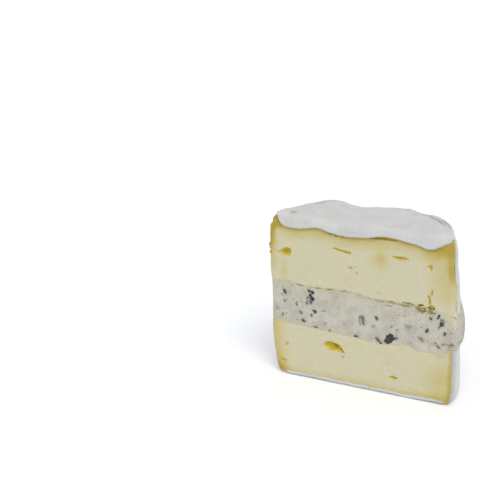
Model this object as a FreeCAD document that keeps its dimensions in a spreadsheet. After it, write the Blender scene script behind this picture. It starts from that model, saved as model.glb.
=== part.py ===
import FreeCAD, Part
import os

import Sketcher
from FreeCAD import Placement, Rotation, Vector

# Half of a filled soft cheese, cut across its diameter: two flat wheels of
# ripe cheese with a layer of truffle cream between them. The cut face looks
# along -Y, the round side is at +Y, and the piece stands on the lower wheel.

# Driving dimensions in millimetres. Widths are measured from the wheels' axis
# and heights from the flat underside.
SIZES = {
    "axis": 0,
    "ground": 0,
    "wheel_radius": 54.4,
    "total_height": 91,
    "top_flat_radius": 47.2,
    "shoulder_radius": 53.2,
    "shoulder_height": 85,
    "shoulder_turn_radius": 51.44,
    "shoulder_turn_height": 89.24,
    "upper_swell_height": 62,
    "upper_side_radius": 54.1,
    "upper_start_height": 44,
    "base_flat_radius": 46.6,
    "base_turn_radius": 49.71,
    "base_turn_height": 1.29,
    "foot_radius": 51,
    "foot_height": 4.6,
    "lower_swell_radius": 53.2,
    "lower_swell_height": 15,
    "lower_rim_radius": 54,
    "lower_end_height": 36,
    "cream_start_height": 24,
    "cream_rim_radius": 54,
    "cream_droop_height": 31,
    "cream_lip_radius": 55.18,
    "cream_lip_height": 32.41,
    "cream_radius": 55.6,
    "cream_swell_height": 34.2,
    "cream_flank_radius": 55.25,
    "cream_flank_height": 46,
    "cream_end_height": 58,
    "cream_shift": 1.2,
    "slab_reach": 62,
    "slab_middle": 10,
    "slab_quarter": 34,
    "lower_seam_left": 31.2,
    "lower_seam_inner_left": 30.3,
    "lower_seam_middle": 27.5,
    "lower_seam_inner_right": 28.3,
    "lower_seam_right": 29.6,
    "upper_seam_left": 54.6,
    "upper_seam_inner_left": 53.1,
    "upper_seam_middle": 51.1,
    "upper_seam_inner_right": 50.8,
    "upper_seam_right": 47.9,
    "lip_proud": 1.5,
    "roll_depth": 3.5,
    "roll_height": 86,
    "roll_turn_depth": -0.04,
    "roll_turn_height": 89.54,
    "roll_clear_depth": 6,
    "roll_clear_height": 96,
}

# Lower edge of the rind that hangs over the cut, from left to right: distance
# from the axis and drop below the top.
LIP_WAVE = [
    (-43.6, 5.4), (-35.5, 6.2), (-23.3, 4.8), (-6.5, 7.8), (5.7, 7.4),
    (14.5, 5.6), (24.0, 6.2), (33.0, 8.0), (41.2, 9.4), (47.8, 7.3),
]

# Eyes and knife tears in each cut face: place across and up, half width, half
# height, depth and tilt in degrees.
UPPER_EYES = {
    "left_eye": (-44.2, 71.4, 4.3, 2.3, 3.0, 6),
    "middle_tear": (-9.2, 75.6, 5.0, 0.8, 1.8, -7),
    "right_tear": (24.8, 74.9, 4.1, 0.9, 1.8, 2),
    "right_pit": (40.2, 72.4, 1.1, 0.9, 1.2, 0),
    "seam_crack": (40.8, 57.0, 0.8, 3.6, 1.6, -4),
    "middle_pit": (-3.4, 66.8, 1.2, 0.9, 1.0, 20),
}
LOWER_EYES = {
    "large_eye": (-14.8, 20.9, 4.9, 2.4, 3.4, -14),
    "eye_tail": (-19.0, 21.8, 2.2, 1.1, 1.8, 8),
    "left_pit": (-45.1, 17.9, 1.2, 0.8, 1.2, 0),
    "low_pit": (-47.3, 7.7, 0.9, 0.8, 1.0, 0),
    "low_tear": (20.4, 9.5, 3.2, 0.7, 1.4, 0),
}

EYE_FIELDS = ("across", "up", "half_wide", "half_tall", "deep", "tilt")

# Origin planes: the cut face lies in FRONT, and SIDE is square to it.
FRONT = "XZ_Plane"
SIDE = "YZ_Plane"

doc = FreeCAD.newDocument("FilledCheeseHalf")
sheet = doc.addObject("Spreadsheet::Sheet", "Sizes")


def fill_sheet():
    """Write every driving dimension to the sheet under its own alias."""
    cells = dict(SIZES)
    for number, (across, drop) in enumerate(LIP_WAVE):
        cells["wave_across_%s" % chr(ord("a") + number)] = across
        cells["wave_drop_%s" % chr(ord("a") + number)] = drop
    for eyes in (UPPER_EYES, LOWER_EYES):
        for eye, values in eyes.items():
            for field, value in zip(EYE_FIELDS, values):
                cells["%s_%s" % (eye, field)] = value
    for row, (alias, value) in enumerate(cells.items(), start=1):
        sheet.set("A%d" % row, alias.replace("_", " "))
        sheet.set("B%d" % row, str(value))
        sheet.setAlias("B%d" % row, alias)
    doc.recompute()


def size(term):
    """Value of a signed alias, such as "wheel_radius" or "-slab_reach"."""
    if term.startswith("-"):
        return -sheet.get(term[1:])
    return sheet.get(term)


def cell(term):
    """Expression that reads a signed alias from the sheet."""
    if term.startswith("-"):
        return "-Sizes." + term[1:]
    return "Sizes." + term


def corner_point(corner):
    """Sketch point at a corner given by two signed aliases."""
    return Vector(size(corner[0]), size(corner[1]), 0)


def new_body(label):
    """A body whose label names its sub-part."""
    body = doc.addObject("PartDesign::Body", label)
    body.Label = label
    return body


def origin_plane(body, role):
    """One of the body's own origin planes."""
    features = body.Origin.OriginFeatures
    return next(plane for plane in features if plane.Role == role)


def plane_sketch(body, name, role):
    """An empty sketch on one of the body's origin planes."""
    sketch = body.newObject("Sketcher::SketchObject", name)
    sketch.AttachmentSupport = [(origin_plane(body, role), "")]
    sketch.MapMode = "FlatFace"
    return sketch


def pin(sketch, geometry, end, corner):
    """Hold one end of a curve at two distances read from the sheet."""
    for kind, term in zip(("DistanceX", "DistanceY"), corner):
        rule = Sketcher.Constraint(kind, geometry, end, size(term))
        index = sketch.addConstraint(rule)
        sketch.setExpression("Constraints[%d]" % index, cell(term))


def outline(body, name, corners, rounds=None, seam=None, role=FRONT):
    """Sketch a closed outline through corners given as pairs of aliases.

    rounds gives, for the side that starts at a corner's index, the point that
    its arc passes through, and every arc turns counterclockwise. seam gives
    the inner points of a side that is a smooth curve, under the index of the
    corner where it starts.
    """
    rounds = rounds or {}
    seam = seam or {}
    sketch = plane_sketch(body, name, role)
    count = len(corners)
    for index, corner in enumerate(corners):
        start = corner_point(corner)
        end = corner_point(corners[(index + 1) % count])
        if index in rounds:
            curve = Part.Arc(start, corner_point(rounds[index]), end)
        elif index in seam:
            curve = Part.BSplineCurve()
            curve.interpolate([start] + seam[index] + [end])
        else:
            curve = Part.LineSegment(start, end)
        sketch.addGeometry(curve, False)
    for index, corner in enumerate(corners):
        following = (index + 1) % count
        joint = Sketcher.Constraint("Coincident", index, 2, following, 1)
        sketch.addConstraint(joint)
        if index in seam:
            pin(sketch, (index - 1) % count, 2, corner)
        else:
            pin(sketch, index, 1, corner)
    for index, middle in rounds.items():
        mark = sketch.addGeometry(Part.Point(corner_point(middle)), True)
        pin(sketch, mark, 1, middle)
        hold = Sketcher.Constraint("PointOnObject", mark, 1, index)
        sketch.addConstraint(hold)
    return sketch


def half_turn(body, sketch):
    """Turn an outline half round the axis, away from the cut face."""
    feature = body.newObject("PartDesign::Revolution", body.Label + "_turn")
    feature.Profile = (sketch, [])
    feature.ReferenceAxis = (sketch, ["V_Axis"])
    feature.Angle = 180
    doc.recompute()
    return feature


def cut_through(body, sketch):
    """Cut an outline away through the whole depth and prove that it cut."""
    before = body.Shape.Volume
    feature = body.newObject("PartDesign::Pocket", sketch.Name + "_cut")
    feature.Profile = (sketch, [])
    feature.SideType = "Two sides"
    feature.Type = "ThroughAll"
    feature.Type2 = "ThroughAll"
    doc.recompute()
    if body.Shape.Volume > before - 1:
        raise RuntimeError("%s cuts nothing" % feature.Name)


def seam_points(seam):
    """Inner points of a seam between two layers, from left to right."""
    places = ("-slab_quarter", "slab_middle", "slab_quarter")
    heights = ("inner_left", "middle", "inner_right")
    points = []
    for place, height in zip(places, heights):
        level = size("%s_seam_%s" % (seam, height))
        points.append(Vector(size(place), level, 0))
    return points


def cut_at_seam(body, seam, limit, shift="0"):
    """Cut away what lies beyond a seam, out to the height named by limit.

    shift is the expression that moves the seam sideways within the body.
    """
    left = "%s_seam_left" % seam
    right = "%s_seam_right" % seam
    corners = [
        ("-slab_reach", left),
        ("slab_reach", right),
        ("slab_reach", limit),
        ("-slab_reach", limit),
    ]
    inner = {0: seam_points(seam)}
    sketch = outline(body, "%s_%s" % (body.Label, seam), corners, seam=inner)
    sketch.setExpression("AttachmentOffset.Base.x", shift)
    cut_through(body, sketch)


def cut_eyes(body, eyes):
    """Sink each eye or tear into the cut face as half an ellipsoid."""
    for eye in eyes:
        before = body.Shape.Volume
        hollow = body.newObject("PartDesign::SubtractiveEllipsoid", eye)
        hollow.AttachmentSupport = [(origin_plane(body, FRONT), "")]
        hollow.MapMode = "FlatFace"
        turn = Rotation(Vector(0, 0, 1), size(eye + "_tilt"))
        spot = Vector(size(eye + "_across"), size(eye + "_up"), 0)
        hollow.AttachmentOffset = Placement(spot, turn)
        hollow.setExpression("AttachmentOffset.Base.x", cell(eye + "_across"))
        hollow.setExpression("AttachmentOffset.Base.y", cell(eye + "_up"))
        hollow.setExpression("Radius1", cell(eye + "_deep"))
        hollow.setExpression("Radius2", cell(eye + "_half_wide"))
        hollow.setExpression("Radius3", cell(eye + "_half_tall"))
        doc.recompute()
        if body.Shape.Volume >= before:
            raise RuntimeError("%s cuts nothing" % eye)


def stand(body, sideways):
    """Place a body so that the whole piece is centred over its footprint."""
    body.setExpression("Placement.Base.x", sideways)
    depth = "(Sizes.lip_proud - Sizes.cream_radius) / 2"
    body.setExpression("Placement.Base.y", depth)


def make_lower_cheese():
    """Lower wheel: a rounded foot, a slightly swollen side, eyes in the cut."""
    body = new_body("lower_cheese")
    corners = [
        ("axis", "ground"),
        ("base_flat_radius", "ground"),
        ("foot_radius", "foot_height"),
        ("lower_rim_radius", "lower_end_height"),
        ("axis", "lower_end_height"),
    ]
    rounds = {
        1: ("base_turn_radius", "base_turn_height"),
        2: ("lower_swell_radius", "lower_swell_height"),
    }
    half_turn(body, outline(body, "lower_profile", corners, rounds))
    cut_at_seam(body, "lower", "total_height")
    cut_eyes(body, LOWER_EYES)
    stand(body, "-Sizes.cream_shift")
    return body


def make_truffle_filling():
    """Cream layer: it has sagged outwards and droops over the lower wheel."""
    body = new_body("truffle_filling")
    corners = [
        ("axis", "cream_start_height"),
        ("cream_rim_radius", "cream_start_height"),
        ("cream_rim_radius", "cream_droop_height"),
        ("cream_radius", "cream_swell_height"),
        ("wheel_radius", "cream_end_height"),
        ("axis", "cream_end_height"),
    ]
    rounds = {
        2: ("cream_lip_radius", "cream_lip_height"),
        3: ("cream_flank_radius", "cream_flank_height"),
    }
    half_turn(body, outline(body, "cream_profile", corners, rounds))
    cut_at_seam(body, "lower", "ground", "-Sizes.cream_shift")
    cut_at_seam(body, "upper", "total_height", "-Sizes.cream_shift")
    stand(body, "0")
    return body


def lip_wave():
    """Lower edge of the hanging rind, from left to right."""
    points = []
    for number in range(len(LIP_WAVE)):
        letter = chr(ord("a") + number)
        drop = size("wave_drop_%s" % letter)
        height = size("total_height") - drop
        points.append(Vector(size("wave_across_%s" % letter), height, 0))
    return points


def add_hanging_rind(body):
    """Pad the rind that was dragged over the upper edge of the cut."""
    corners = [
        ("shoulder_radius", "shoulder_height"),
        ("top_flat_radius", "total_height"),
        ("-top_flat_radius", "total_height"),
    ]
    rounds = {0: ("shoulder_turn_radius", "shoulder_turn_height")}
    wave = {2: lip_wave()}
    sketch = outline(body, "hanging_rind", corners, rounds, wave)
    pad = body.newObject("PartDesign::Pad", "hanging_rind_pad")
    pad.Profile = (sketch, [])
    pad.setExpression("Length", "Sizes.lip_proud")
    doc.recompute()


def roll_top_edge(body):
    """Round the edge where the top rind turns down over the cut."""
    corners = [
        ("roll_depth", "total_height"),
        ("-lip_proud", "roll_height"),
        ("-roll_clear_depth", "roll_height"),
        ("-roll_clear_depth", "roll_clear_height"),
        ("roll_depth", "roll_clear_height"),
    ]
    rounds = {0: ("roll_turn_depth", "roll_turn_height")}
    cut_through(body, outline(body, "top_roll", corners, rounds, role=SIDE))


def make_upper_cheese():
    """Upper wheel: rounded shoulders, eyes, and rind hanging over the cut."""
    body = new_body("upper_cheese")
    corners = [
        ("axis", "upper_start_height"),
        ("upper_side_radius", "upper_start_height"),
        ("shoulder_radius", "shoulder_height"),
        ("top_flat_radius", "total_height"),
        ("axis", "total_height"),
    ]
    rounds = {
        1: ("wheel_radius", "upper_swell_height"),
        2: ("shoulder_turn_radius", "shoulder_turn_height"),
    }
    half_turn(body, outline(body, "upper_profile", corners, rounds))
    cut_at_seam(body, "upper", "ground")
    cut_eyes(body, UPPER_EYES)
    add_hanging_rind(body)
    roll_top_edge(body)
    stand(body, "-Sizes.cream_shift")
    return body


def check_document(bodies):
    """Stop if an object failed or a sub-part is not one sound solid."""
    for item in doc.Objects:
        if "Invalid" in item.State or "Error" in item.State:
            raise RuntimeError("%s failed: %s" % (item.Name, item.State))
    for body in bodies:
        shape = body.Shape
        if shape.isNull() or not shape.isValid() or len(shape.Solids) != 1:
            raise RuntimeError("%s is not one sound solid" % body.Label)


def write_parts(bodies):
    """Write each sub-part to a file named for it and print its size."""
    os.makedirs("parts", exist_ok=True)
    for body in bodies:
        body.Shape.exportStep("parts/%s.step" % body.Label)
        volume = body.Shape.Volume / 1000
        print("%s: %.1f cm3" % (body.Label, volume))


fill_sheet()
layers = [make_lower_cheese(), make_truffle_filling(), make_upper_cheese()]
doc.recompute()
check_document(layers)
write_parts(layers)
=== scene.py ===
import logging
import math
import random
from dataclasses import dataclass
from enum import Enum
from typing import Any, Iterable

import bmesh
import bpy
from bmesh.types import BMEdge, BMesh, BMVert
from bpy.types import Material, Node, NodeSocket, NodeTree, Object
from mathutils import Matrix, Vector, noise


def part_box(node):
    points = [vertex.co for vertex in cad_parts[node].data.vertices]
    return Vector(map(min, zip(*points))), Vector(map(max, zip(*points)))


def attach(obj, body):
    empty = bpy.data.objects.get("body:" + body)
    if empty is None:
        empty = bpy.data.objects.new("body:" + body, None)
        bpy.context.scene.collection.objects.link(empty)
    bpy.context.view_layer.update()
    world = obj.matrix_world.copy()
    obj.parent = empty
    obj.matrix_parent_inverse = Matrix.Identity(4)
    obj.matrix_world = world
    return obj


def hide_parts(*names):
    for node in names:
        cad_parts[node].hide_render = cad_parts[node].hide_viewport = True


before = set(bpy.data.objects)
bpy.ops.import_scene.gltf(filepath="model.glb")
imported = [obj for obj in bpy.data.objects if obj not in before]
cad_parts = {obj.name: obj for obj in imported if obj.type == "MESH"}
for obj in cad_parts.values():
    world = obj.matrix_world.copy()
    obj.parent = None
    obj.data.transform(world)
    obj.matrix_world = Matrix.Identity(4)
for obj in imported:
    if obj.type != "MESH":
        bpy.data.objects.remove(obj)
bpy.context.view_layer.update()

log = logging.getLogger("filled_cheese")

# Metres in a millimetre. Every size below is in millimetres unless it says otherwise.
MM = 0.001

# Distance between points on the cut faces.
SPACING = 0.42
# Points closer together than this are merged.
WELD = 0.01
# Faces that meet at more degrees than this keep a sharp edge.
SHARP = 62
# Radius of the round side, near enough to read its patterns and place bits in it.
SIDE = 54.0
# About how far the back of the half lies behind the cut.
DEPTH = 50.0


class Layer(Enum):
    """The solids of the frame, from the bottom up."""

    LOWER = "lower_cheese"
    CREAM = "truffle_filling"
    UPPER = "upper_cheese"


class Tint(Enum):
    """Point attributes that tell a material where a surface changes."""

    RIPE = "ripe"
    HOLLOW = "hollow"
    SEAM = "seam"
    SKIN = "skin"
    STAIN = "stain"


# ---------------------------------------------------------------- small maths


def blend(first: float, second: float, share: float) -> float:
    """Mix two numbers, share 0 giving the first and 1 the second."""
    return first + (second - first) * share


def limit(value: float, low: float = 0.0, high: float = 1.0) -> float:
    """Hold a number between two limits."""
    return max(low, min(high, value))


def ease(low: float, high: float, value: float) -> float:
    """Rise smoothly from 0 at low to 1 at high, or fall if high is below low."""
    share = limit((value - low) / (high - low))
    return share * share * (3 - 2 * share)


def hump(distance: float, width: float) -> float:
    """A bell that is 1 at no distance and fades over a width."""
    return math.exp(-((distance / width) ** 2))


def rough(place: Vector, grain: float, seed: float = 0.0) -> float:
    """Smooth noise from about -1 to 1.

    Args:
        place: Point in millimetres.
        grain: Size of one lump in millimetres.
        seed: Number that picks another pattern.

    Returns:
        The noise at that point.
    """
    shift = Vector((seed * 17.3, seed * 5.1, seed * 9.7))
    return noise.noise(place / grain + shift)


def rough_along(x: float, grain: float, seed: float) -> float:
    """Smooth noise along the cut, which changes only with the place across."""
    return rough(Vector((x, 0, 0)), grain, seed)


def layered(place: Vector, grain: float, seed: float = 0.0) -> float:
    """Noise of three sizes, each half as large and half as strong as the last.

    Args:
        place: Point in millimetres.
        grain: Size of the largest lumps in millimetres.
        seed: Number that picks another pattern.

    Returns:
        The noise there, from about -1 to 1.
    """
    total = rough(place, grain, seed)
    total += 0.5 * rough(place, grain / 2.1, seed + 1)
    total += 0.25 * rough(place, grain / 4.3, seed + 2)
    return total / 1.4


@dataclass(frozen=True)
class Line:
    """A smooth line through a few chosen points.

    Attributes:
        knots: Pairs of a place and the value there, with rising places.
    """

    knots: tuple[tuple[float, float], ...]

    def at(self, place: float) -> float:
        """Value of the line at a place, held level beyond both ends.

        Args:
            place: Where to read the line.

        Returns:
            The value there, on a cubic that passes through every knot.
        """
        knots = self.knots
        if place <= knots[0][0]:
            return knots[0][1]
        if place >= knots[-1][0]:
            return knots[-1][1]
        index = 0
        while knots[index + 1][0] < place:
            index += 1
        before = knots[max(index - 1, 0)]
        start = knots[index]
        end = knots[index + 1]
        after = knots[min(index + 2, len(knots) - 1)]
        span = end[0] - start[0]
        slope_in = (end[1] - before[1]) / (end[0] - before[0]) * span
        slope_out = (after[1] - start[1]) / (after[0] - start[0]) * span
        step = (place - start[0]) / span
        square = step * step
        cube = square * step
        return (
            (2 * cube - 3 * square + 1) * start[1]
            + (cube - 2 * square + step) * slope_in
            + (3 * square - 2 * cube) * end[1]
            + (cube - square) * slope_out
        )


# ---------------------------------------------------------------- the shape of the half


@dataclass(frozen=True)
class Half:
    """Outlines of the half, measured across from its axis and up from its base.

    Attributes:
        axis_x: Place of the wheels' axis in the frame.
        cut_y: Place of the cut face in the frame.
        top: Height of the upper wheel.
        left: Left edge of the cut at each height.
        right: Right edge of the paste and cream at each height.
        skin: Outside of rind and cream at the right edge of the cut.
        flank: Outside of rind and cream a little way round from that edge.
        lower_seam: Height of the cream's underside at each place across.
        upper_seam: Height of the cream's top at each place across.
        lip: Lower edge of the rind that hangs over the cut.
    """

    axis_x: float
    cut_y: float
    top: float
    left: Line = Line((
        (0.0, -48.6), (3.2, -50.9), (12.2, -52.7), (23.0, -53.8), (31.3, -53.9), (42.0, -53.5),
        (52.8, -53.6), (59.2, -54.2), (68.2, -54.1), (78.0, -53.9), (84.0, -53.7), (86.2, -53.3),
        (87.4, -52.0), (90.0, -51.6), (92.0, -50.8),
    ))
    right: Line = Line((
        (0.0, 49.6), (2.0, 51.0), (12.0, 51.8), (25.0, 52.0), (30.5, 52.0), (34.0, 54.6),
        (40.0, 55.4), (48.0, 54.9), (53.0, 54.3), (57.5, 54.9), (62.2, 54.8), (66.0, 53.7), (74.2, 53.0),
        (85.7, 53.0), (91.0, 49.6),
    ))
    skin: Line = Line((
        (0.0, 50.4), (2.0, 52.0), (12.0, 53.0), (25.0, 53.3), (29.0, 53.4), (32.6, 55.0),
        (37.0, 56.2), (44.0, 56.0), (50.0, 55.5), (60.0, 55.5), (74.0, 54.2), (85.0, 53.6), (91.0, 49.0),
    ))
    flank: Line = Line((
        (0.0, 51.6), (4.4, 53.3), (18.0, 53.2), (24.4, 52.7), (27.6, 52.9), (30.0, 53.8), (32.0, 54.9),
        (37.0, 55.4), (41.0, 55.2), (44.2, 54.7), (47.4, 53.8), (50.6, 53.1), (57.0, 52.2), (63.4, 51.9),
        (69.8, 51.2), (76.1, 50.2), (85.0, 49.2), (91.0, 47.6),
    ))
    lower_seam: Line = Line((
        (-60.0, 31.2), (-33.4, 30.3), (-15.8, 29.1), (-3.0, 28.6), (9.4, 27.4), (22.0, 28.2),
        (28.4, 29.0), (33.8, 27.2), (42.0, 27.8), (49.8, 29.5), (60.0, 30.2),
    ))
    upper_seam: Line = Line((
        (-60.0, 54.2), (-40.4, 54.4), (-36.4, 53.1), (-22.3, 52.8), (-5.2, 53.0), (9.6, 51.0),
        (20.0, 50.5), (31.7, 50.9), (40.8, 50.1), (50.5, 48.6), (60.0, 48.0),
    ))
    lip: Line = Line((
        (-48.6, 92.0), (-47.9, 88.6), (-46.6, 86.6), (-43.6, 85.5), (-35.5, 85.0), (-23.3, 86.3),
        (-16.5, 84.7), (-6.5, 83.4), (5.7, 84.0), (14.5, 85.4), (22.3, 84.9), (33.0, 83.1), (41.2, 81.4),
        (47.8, 84.2), (54.0, 87.4),
    ))

    @classmethod
    def from_frame(cls) -> "Half":
        """Read where the wheels' axis, the cut and the top are in the frame.

        Returns:
            The outlines, placed in the frame.
        """
        upper_low, upper_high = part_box(Layer.UPPER.value)
        lower_low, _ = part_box(Layer.LOWER.value)
        return cls(
            axis_x=(upper_low[0] + upper_high[0]) / 2 / MM,
            cut_y=lower_low[1] / MM,
            top=upper_high[2] / MM,
        )

    def reach(self, side: Line, height: float, angle: float) -> float:
        """Distance from the axis to a side.

        Args:
            side: Right-hand outline that the side has.
            height: Height above the base.
            angle: Direction from the axis, 0 at the right and pi at the left of the cut.

        Returns:
            The radius in that direction.
        """
        share = (1 - math.cos(angle)) / 2
        dent = max(side.at(height) - self.flank.at(height), -1.0)
        dent *= hump(angle - 0.47, 0.5) * ease(0.0, 0.16, angle)
        return blend(side.at(height) - dent, -self.left.at(height), share)

    def under_cream(self, x: float, y: float) -> float:
        """Height of the cream's underside, which climbs a little behind the cut."""
        droop = 3.4 * ease(4.4, 1.2, abs(x - 46.4)) * ease(7, 1, y)
        return self.lower_seam.at(x) + 1.6 * ease(1, 14, y) - droop

    def over_cream(self, x: float, y: float) -> float:
        """Height of the cream's top."""
        return self.upper_seam.at(x) + 0.4 * ease(1, 14, y)

    def in_frame(self, place: Vector) -> Vector:
        """Turn millimetres from the wheels' axis into metres in the frame."""
        return Vector((place.x + self.axis_x, place.y + self.cut_y, place.z)) * MM


@dataclass(frozen=True)
class Eye:
    """A hole or a knife tear in the cut face.

    Attributes:
        across: Place across the cut.
        up: Height of its middle.
        half_wide: Half its width.
        half_tall: Half its height.
        deep: Its depth.
        tilt: Turn in degrees, counterclockwise from in front.
        ragged: How uneven its rim is, as a share of its size.
        gold: How golden its inside is, from 0 to 1.
    """

    across: float
    up: float
    half_wide: float
    half_tall: float
    deep: float
    tilt: float = 0.0
    ragged: float = 0.25
    gold: float = 1.0

    def sink(self, place: Vector) -> tuple[float, float]:
        """Depth and golden tint that the eye gives to a point of the cut.

        Args:
            place: Point on the cut, in millimetres from the axis.

        Returns:
            The depth in millimetres and the tint from 0 to 1.
        """
        across = place.x - self.across
        up = place.z - self.up
        if abs(across) > self.half_wide * 2 + 1.5 or abs(up) > self.half_wide * 2 + 1.5:
            return 0.0, 0.0
        turn = math.radians(self.tilt)
        along = (across * math.cos(turn) + up * math.sin(turn)) / self.half_wide
        over = (up * math.cos(turn) - across * math.sin(turn)) / self.half_tall
        span = math.hypot(along, over)
        grain = 0.9 * min(self.half_wide, self.half_tall) + 0.5
        span *= 1 + self.ragged * rough(place, grain, self.across)
        depth = 0.0
        if span < 1:
            depth = self.deep * math.sqrt(1 - span ** 2.4)
        rim = -0.10 * hump(span - 1.12, 0.16)
        return depth + rim, self.gold * ease(1.12, 0.72, span)


def sink_all(eyes: Iterable[Eye], place: Vector) -> tuple[float, float]:
    """Depth that all the eyes together give to a point of the cut, and their strongest tint."""
    marks = [eye.sink(place) for eye in eyes]
    return sum(mark[0] for mark in marks), max(mark[1] for mark in marks)


def broken_seam(x: float, seed: float) -> tuple[float, float]:
    """How far the seam on top of the cream is torn open at a place across the cut.

    Args:
        x: The place across.
        seed: Number of the layer whose tears these are.

    Returns:
        The share that is torn, and the crevice's strength, which fades at both ends.
    """
    broken = ease(-0.3, 0.4, rough_along(x, 4, seed + 7)) * ease(-46, -39, x)
    return broken, (0.3 + 0.7 * broken) * ease(50, 43, x)


# Noise seed of the upper wheel's paste, which the cream shares along their common seam.
UPPER_SEED = 2.0

UPPER_EYES: tuple[Eye, ...] = (
    Eye(-43.6, 71.6, 3.2, 2.5, 2.4, 8, 0.22),
    Eye(-46.6, 70.9, 3.0, 1.5, 1.0, 14, 0.3, 0.45),
    Eye(-12.2, 76.0, 2.8, 0.6, 1.0, -12, 0.3),
    Eye(-7.0, 75.1, 3.6, 0.8, 1.1, -6, 0.3),
    Eye(24.6, 75.0, 4.2, 0.95, 1.1, 2, 0.25, 0.9),
    Eye(22.4, 75.5, 2.6, 0.5, 0.8, -8, 0.3),
    Eye(40.1, 72.3, 1.2, 1.0, 1.3, 0, 0.4, 0.8),
    Eye(40.7, 71.1, 0.8, 1.0, 0.9, 0, 0.4, 0.6),
    Eye(-4.6, 66.7, 1.3, 0.8, 0.9, 0, 0.4, 0.45),
    Eye(-1.3, 67.5, 0.6, 0.5, 0.6, 0, 0.4, 0.3),
    Eye(-0.4, 64.5, 0.8, 0.6, 0.8, 0, 0.4, 0.35),
    # The long slit under the flap is a real gap, and its golden tint also paints the shade that the flap
    # casts on the paste.
    Eye(13.2, 84.6, 8.6, 0.75, 1.5, -3, 0.2, 1.0),
    Eye(-12.8, 83.9, 1.2, 0.8, 0.9, -30, 0.4, 0.7),
    Eye(-16.6, 85.0, 1.0, 0.6, 0.7, -20, 0.4, 0.5),
    Eye(41.3, 58.4, 0.6, 2.2, 1.1, -14, 0.4, 0.75),
    Eye(39.5, 56.9, 0.5, 1.2, 0.6, 24, 0.4, 0.5),
    Eye(40.3, 54.0, 0.8, 2.8, 1.5, 4, 0.4, 0.8),
    Eye(40.7, 50.8, 2.2, 1.6, 1.5, 10, 0.6, 0.8),
    Eye(35.8, 50.8, 2.2, 1.2, 1.4, -12, 0.6, 0.7),
    Eye(28.6, 51.6, 3.6, 0.6, 1.0, -4, 0.5, 0.6),
    Eye(18.6, 51.2, 2.4, 0.6, 0.9, -2, 0.5, 0.45),
    Eye(-8.0, 53.6, 1.6, 0.5, 0.7, 4, 0.5, 0.35),
    Eye(12.0, 54.9, 1.2, 0.5, 0.5, 0, 0.5, 0.2),
)

LOWER_EYES: tuple[Eye, ...] = (
    Eye(-17.2, 21.0, 4.0, 2.8, 2.8, -4, 0.14),
    Eye(-13.0, 20.9, 3.6, 2.0, 2.3, -24, 0.14),
    Eye(-9.8, 19.2, 1.6, 1.0, 1.5, -50, 0.2, 0.9),
    Eye(-9.7, 16.0, 1.1, 0.8, 0.9, 0, 0.3, 0.4),
    Eye(-45.1, 17.9, 1.4, 0.9, 1.0, 18, 0.35, 0.55),
    Eye(-47.3, 7.7, 1.6, 0.9, 1.1, -4, 0.3, 0.65),
    Eye(20.2, 9.6, 2.5, 1.0, 1.3, -2, 0.2, 1.0),
    Eye(17.0, 17.2, 1.9, 0.5, 0.4, 52, 0.4, 0.15),
    Eye(29.6, 5.6, 0.7, 0.5, 0.5, 0, 0.4, 0.3),
)

CREAM_PITS: tuple[Eye, ...] = (
    Eye(43.4, 32.8, 1.1, 0.5, 0.7, -38, 0.8, 0.9),
    Eye(48.9, 32.8, 1.9, 0.4, 0.6, 4, 0.8, 0.8),
    Eye(34.7, 34.2, 1.0, 0.45, 0.6, -50, 0.8, 0.5),
    Eye(50.6, 31.2, 0.9, 1.5, 0.7, -10, 0.5, 0.5),
    Eye(35.6, 49.0, 2.4, 1.5, 1.3, -8, 0.7, 0.9),
    Eye(40.8, 48.8, 2.6, 1.5, 1.4, 6, 0.7, 0.9),
    Eye(26.0, 50.2, 3.4, 0.5, 0.7, -3, 0.6, 0.6),
    Eye(17.5, 48.9, 2.6, 0.45, 0.6, 2, 0.6, 0.5),
    Eye(-30.0, 44.4, 1.6, 0.7, 0.4, 12, 0.4, 0.0),
    Eye(6.4, 46.6, 2.2, 0.6, 0.3, -6, 0.4, 0.0),
    Eye(26.2, 44.2, 1.8, 0.8, 0.4, 20, 0.4, 0.0),
)


# ---------------------------------------------------------------- mesh helpers


def smooth_object(name: str, bm: BMesh, material: Material) -> Object:
    """Turn a finished bmesh into a smooth-shaded object and free it.

    Args:
        name: Name of the piece.
        bm: The mesh, in metres and in the frame.
        material: Its finish.

    Returns:
        The new object, linked to the scene.
    """
    for face in bm.faces:
        face.smooth = True
    mesh = bpy.data.meshes.new(name)
    bm.to_mesh(mesh)
    bm.free()
    mesh.set_sharp_from_angle(angle=math.radians(SHARP))
    mesh.materials.append(material)
    piece = bpy.data.objects.new(name, mesh)
    bpy.context.scene.collection.objects.link(piece)
    return piece


def place_piece(name: str, bm: BMesh, half: Half, material: Material) -> Object:
    """Turn a finished bmesh into a piece that rides on the one body.

    Args:
        name: Name of the piece.
        bm: The mesh, in millimetres from the wheels' axis.
        half: Outlines of the half.
        material: Its finish.

    Returns:
        The piece.
    """
    for vert in bm.verts:
        vert.co = half.in_frame(vert.co)
    piece = smooth_object(name, bm, material)
    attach(piece, "root")
    log.info("%s: %d faces", name, len(piece.data.polygons))
    return piece


def open_edges(bm: BMesh) -> list[BMEdge]:
    """Edges that have a face on one side only."""
    return [edge for edge in bm.edges if edge.is_boundary]


def pull_out(bm: BMesh, edges: list[BMEdge]) -> tuple[list, list]:
    """Extrude edges once.

    Args:
        bm: The mesh.
        edges: The edges to extrude.

    Returns:
        The new points, and the new edges between them.
    """
    result = bmesh.ops.extrude_edge_only(bm, edges=edges)["geom"]
    points = [item for item in result if isinstance(item, BMVert)]
    fresh = set(points)
    lines = [
        item for item in result
        if isinstance(item, BMEdge) and item.verts[0] in fresh and item.verts[1] in fresh
    ]
    return points, lines


# ---------------------------------------------------------------- paste and cream


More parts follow.
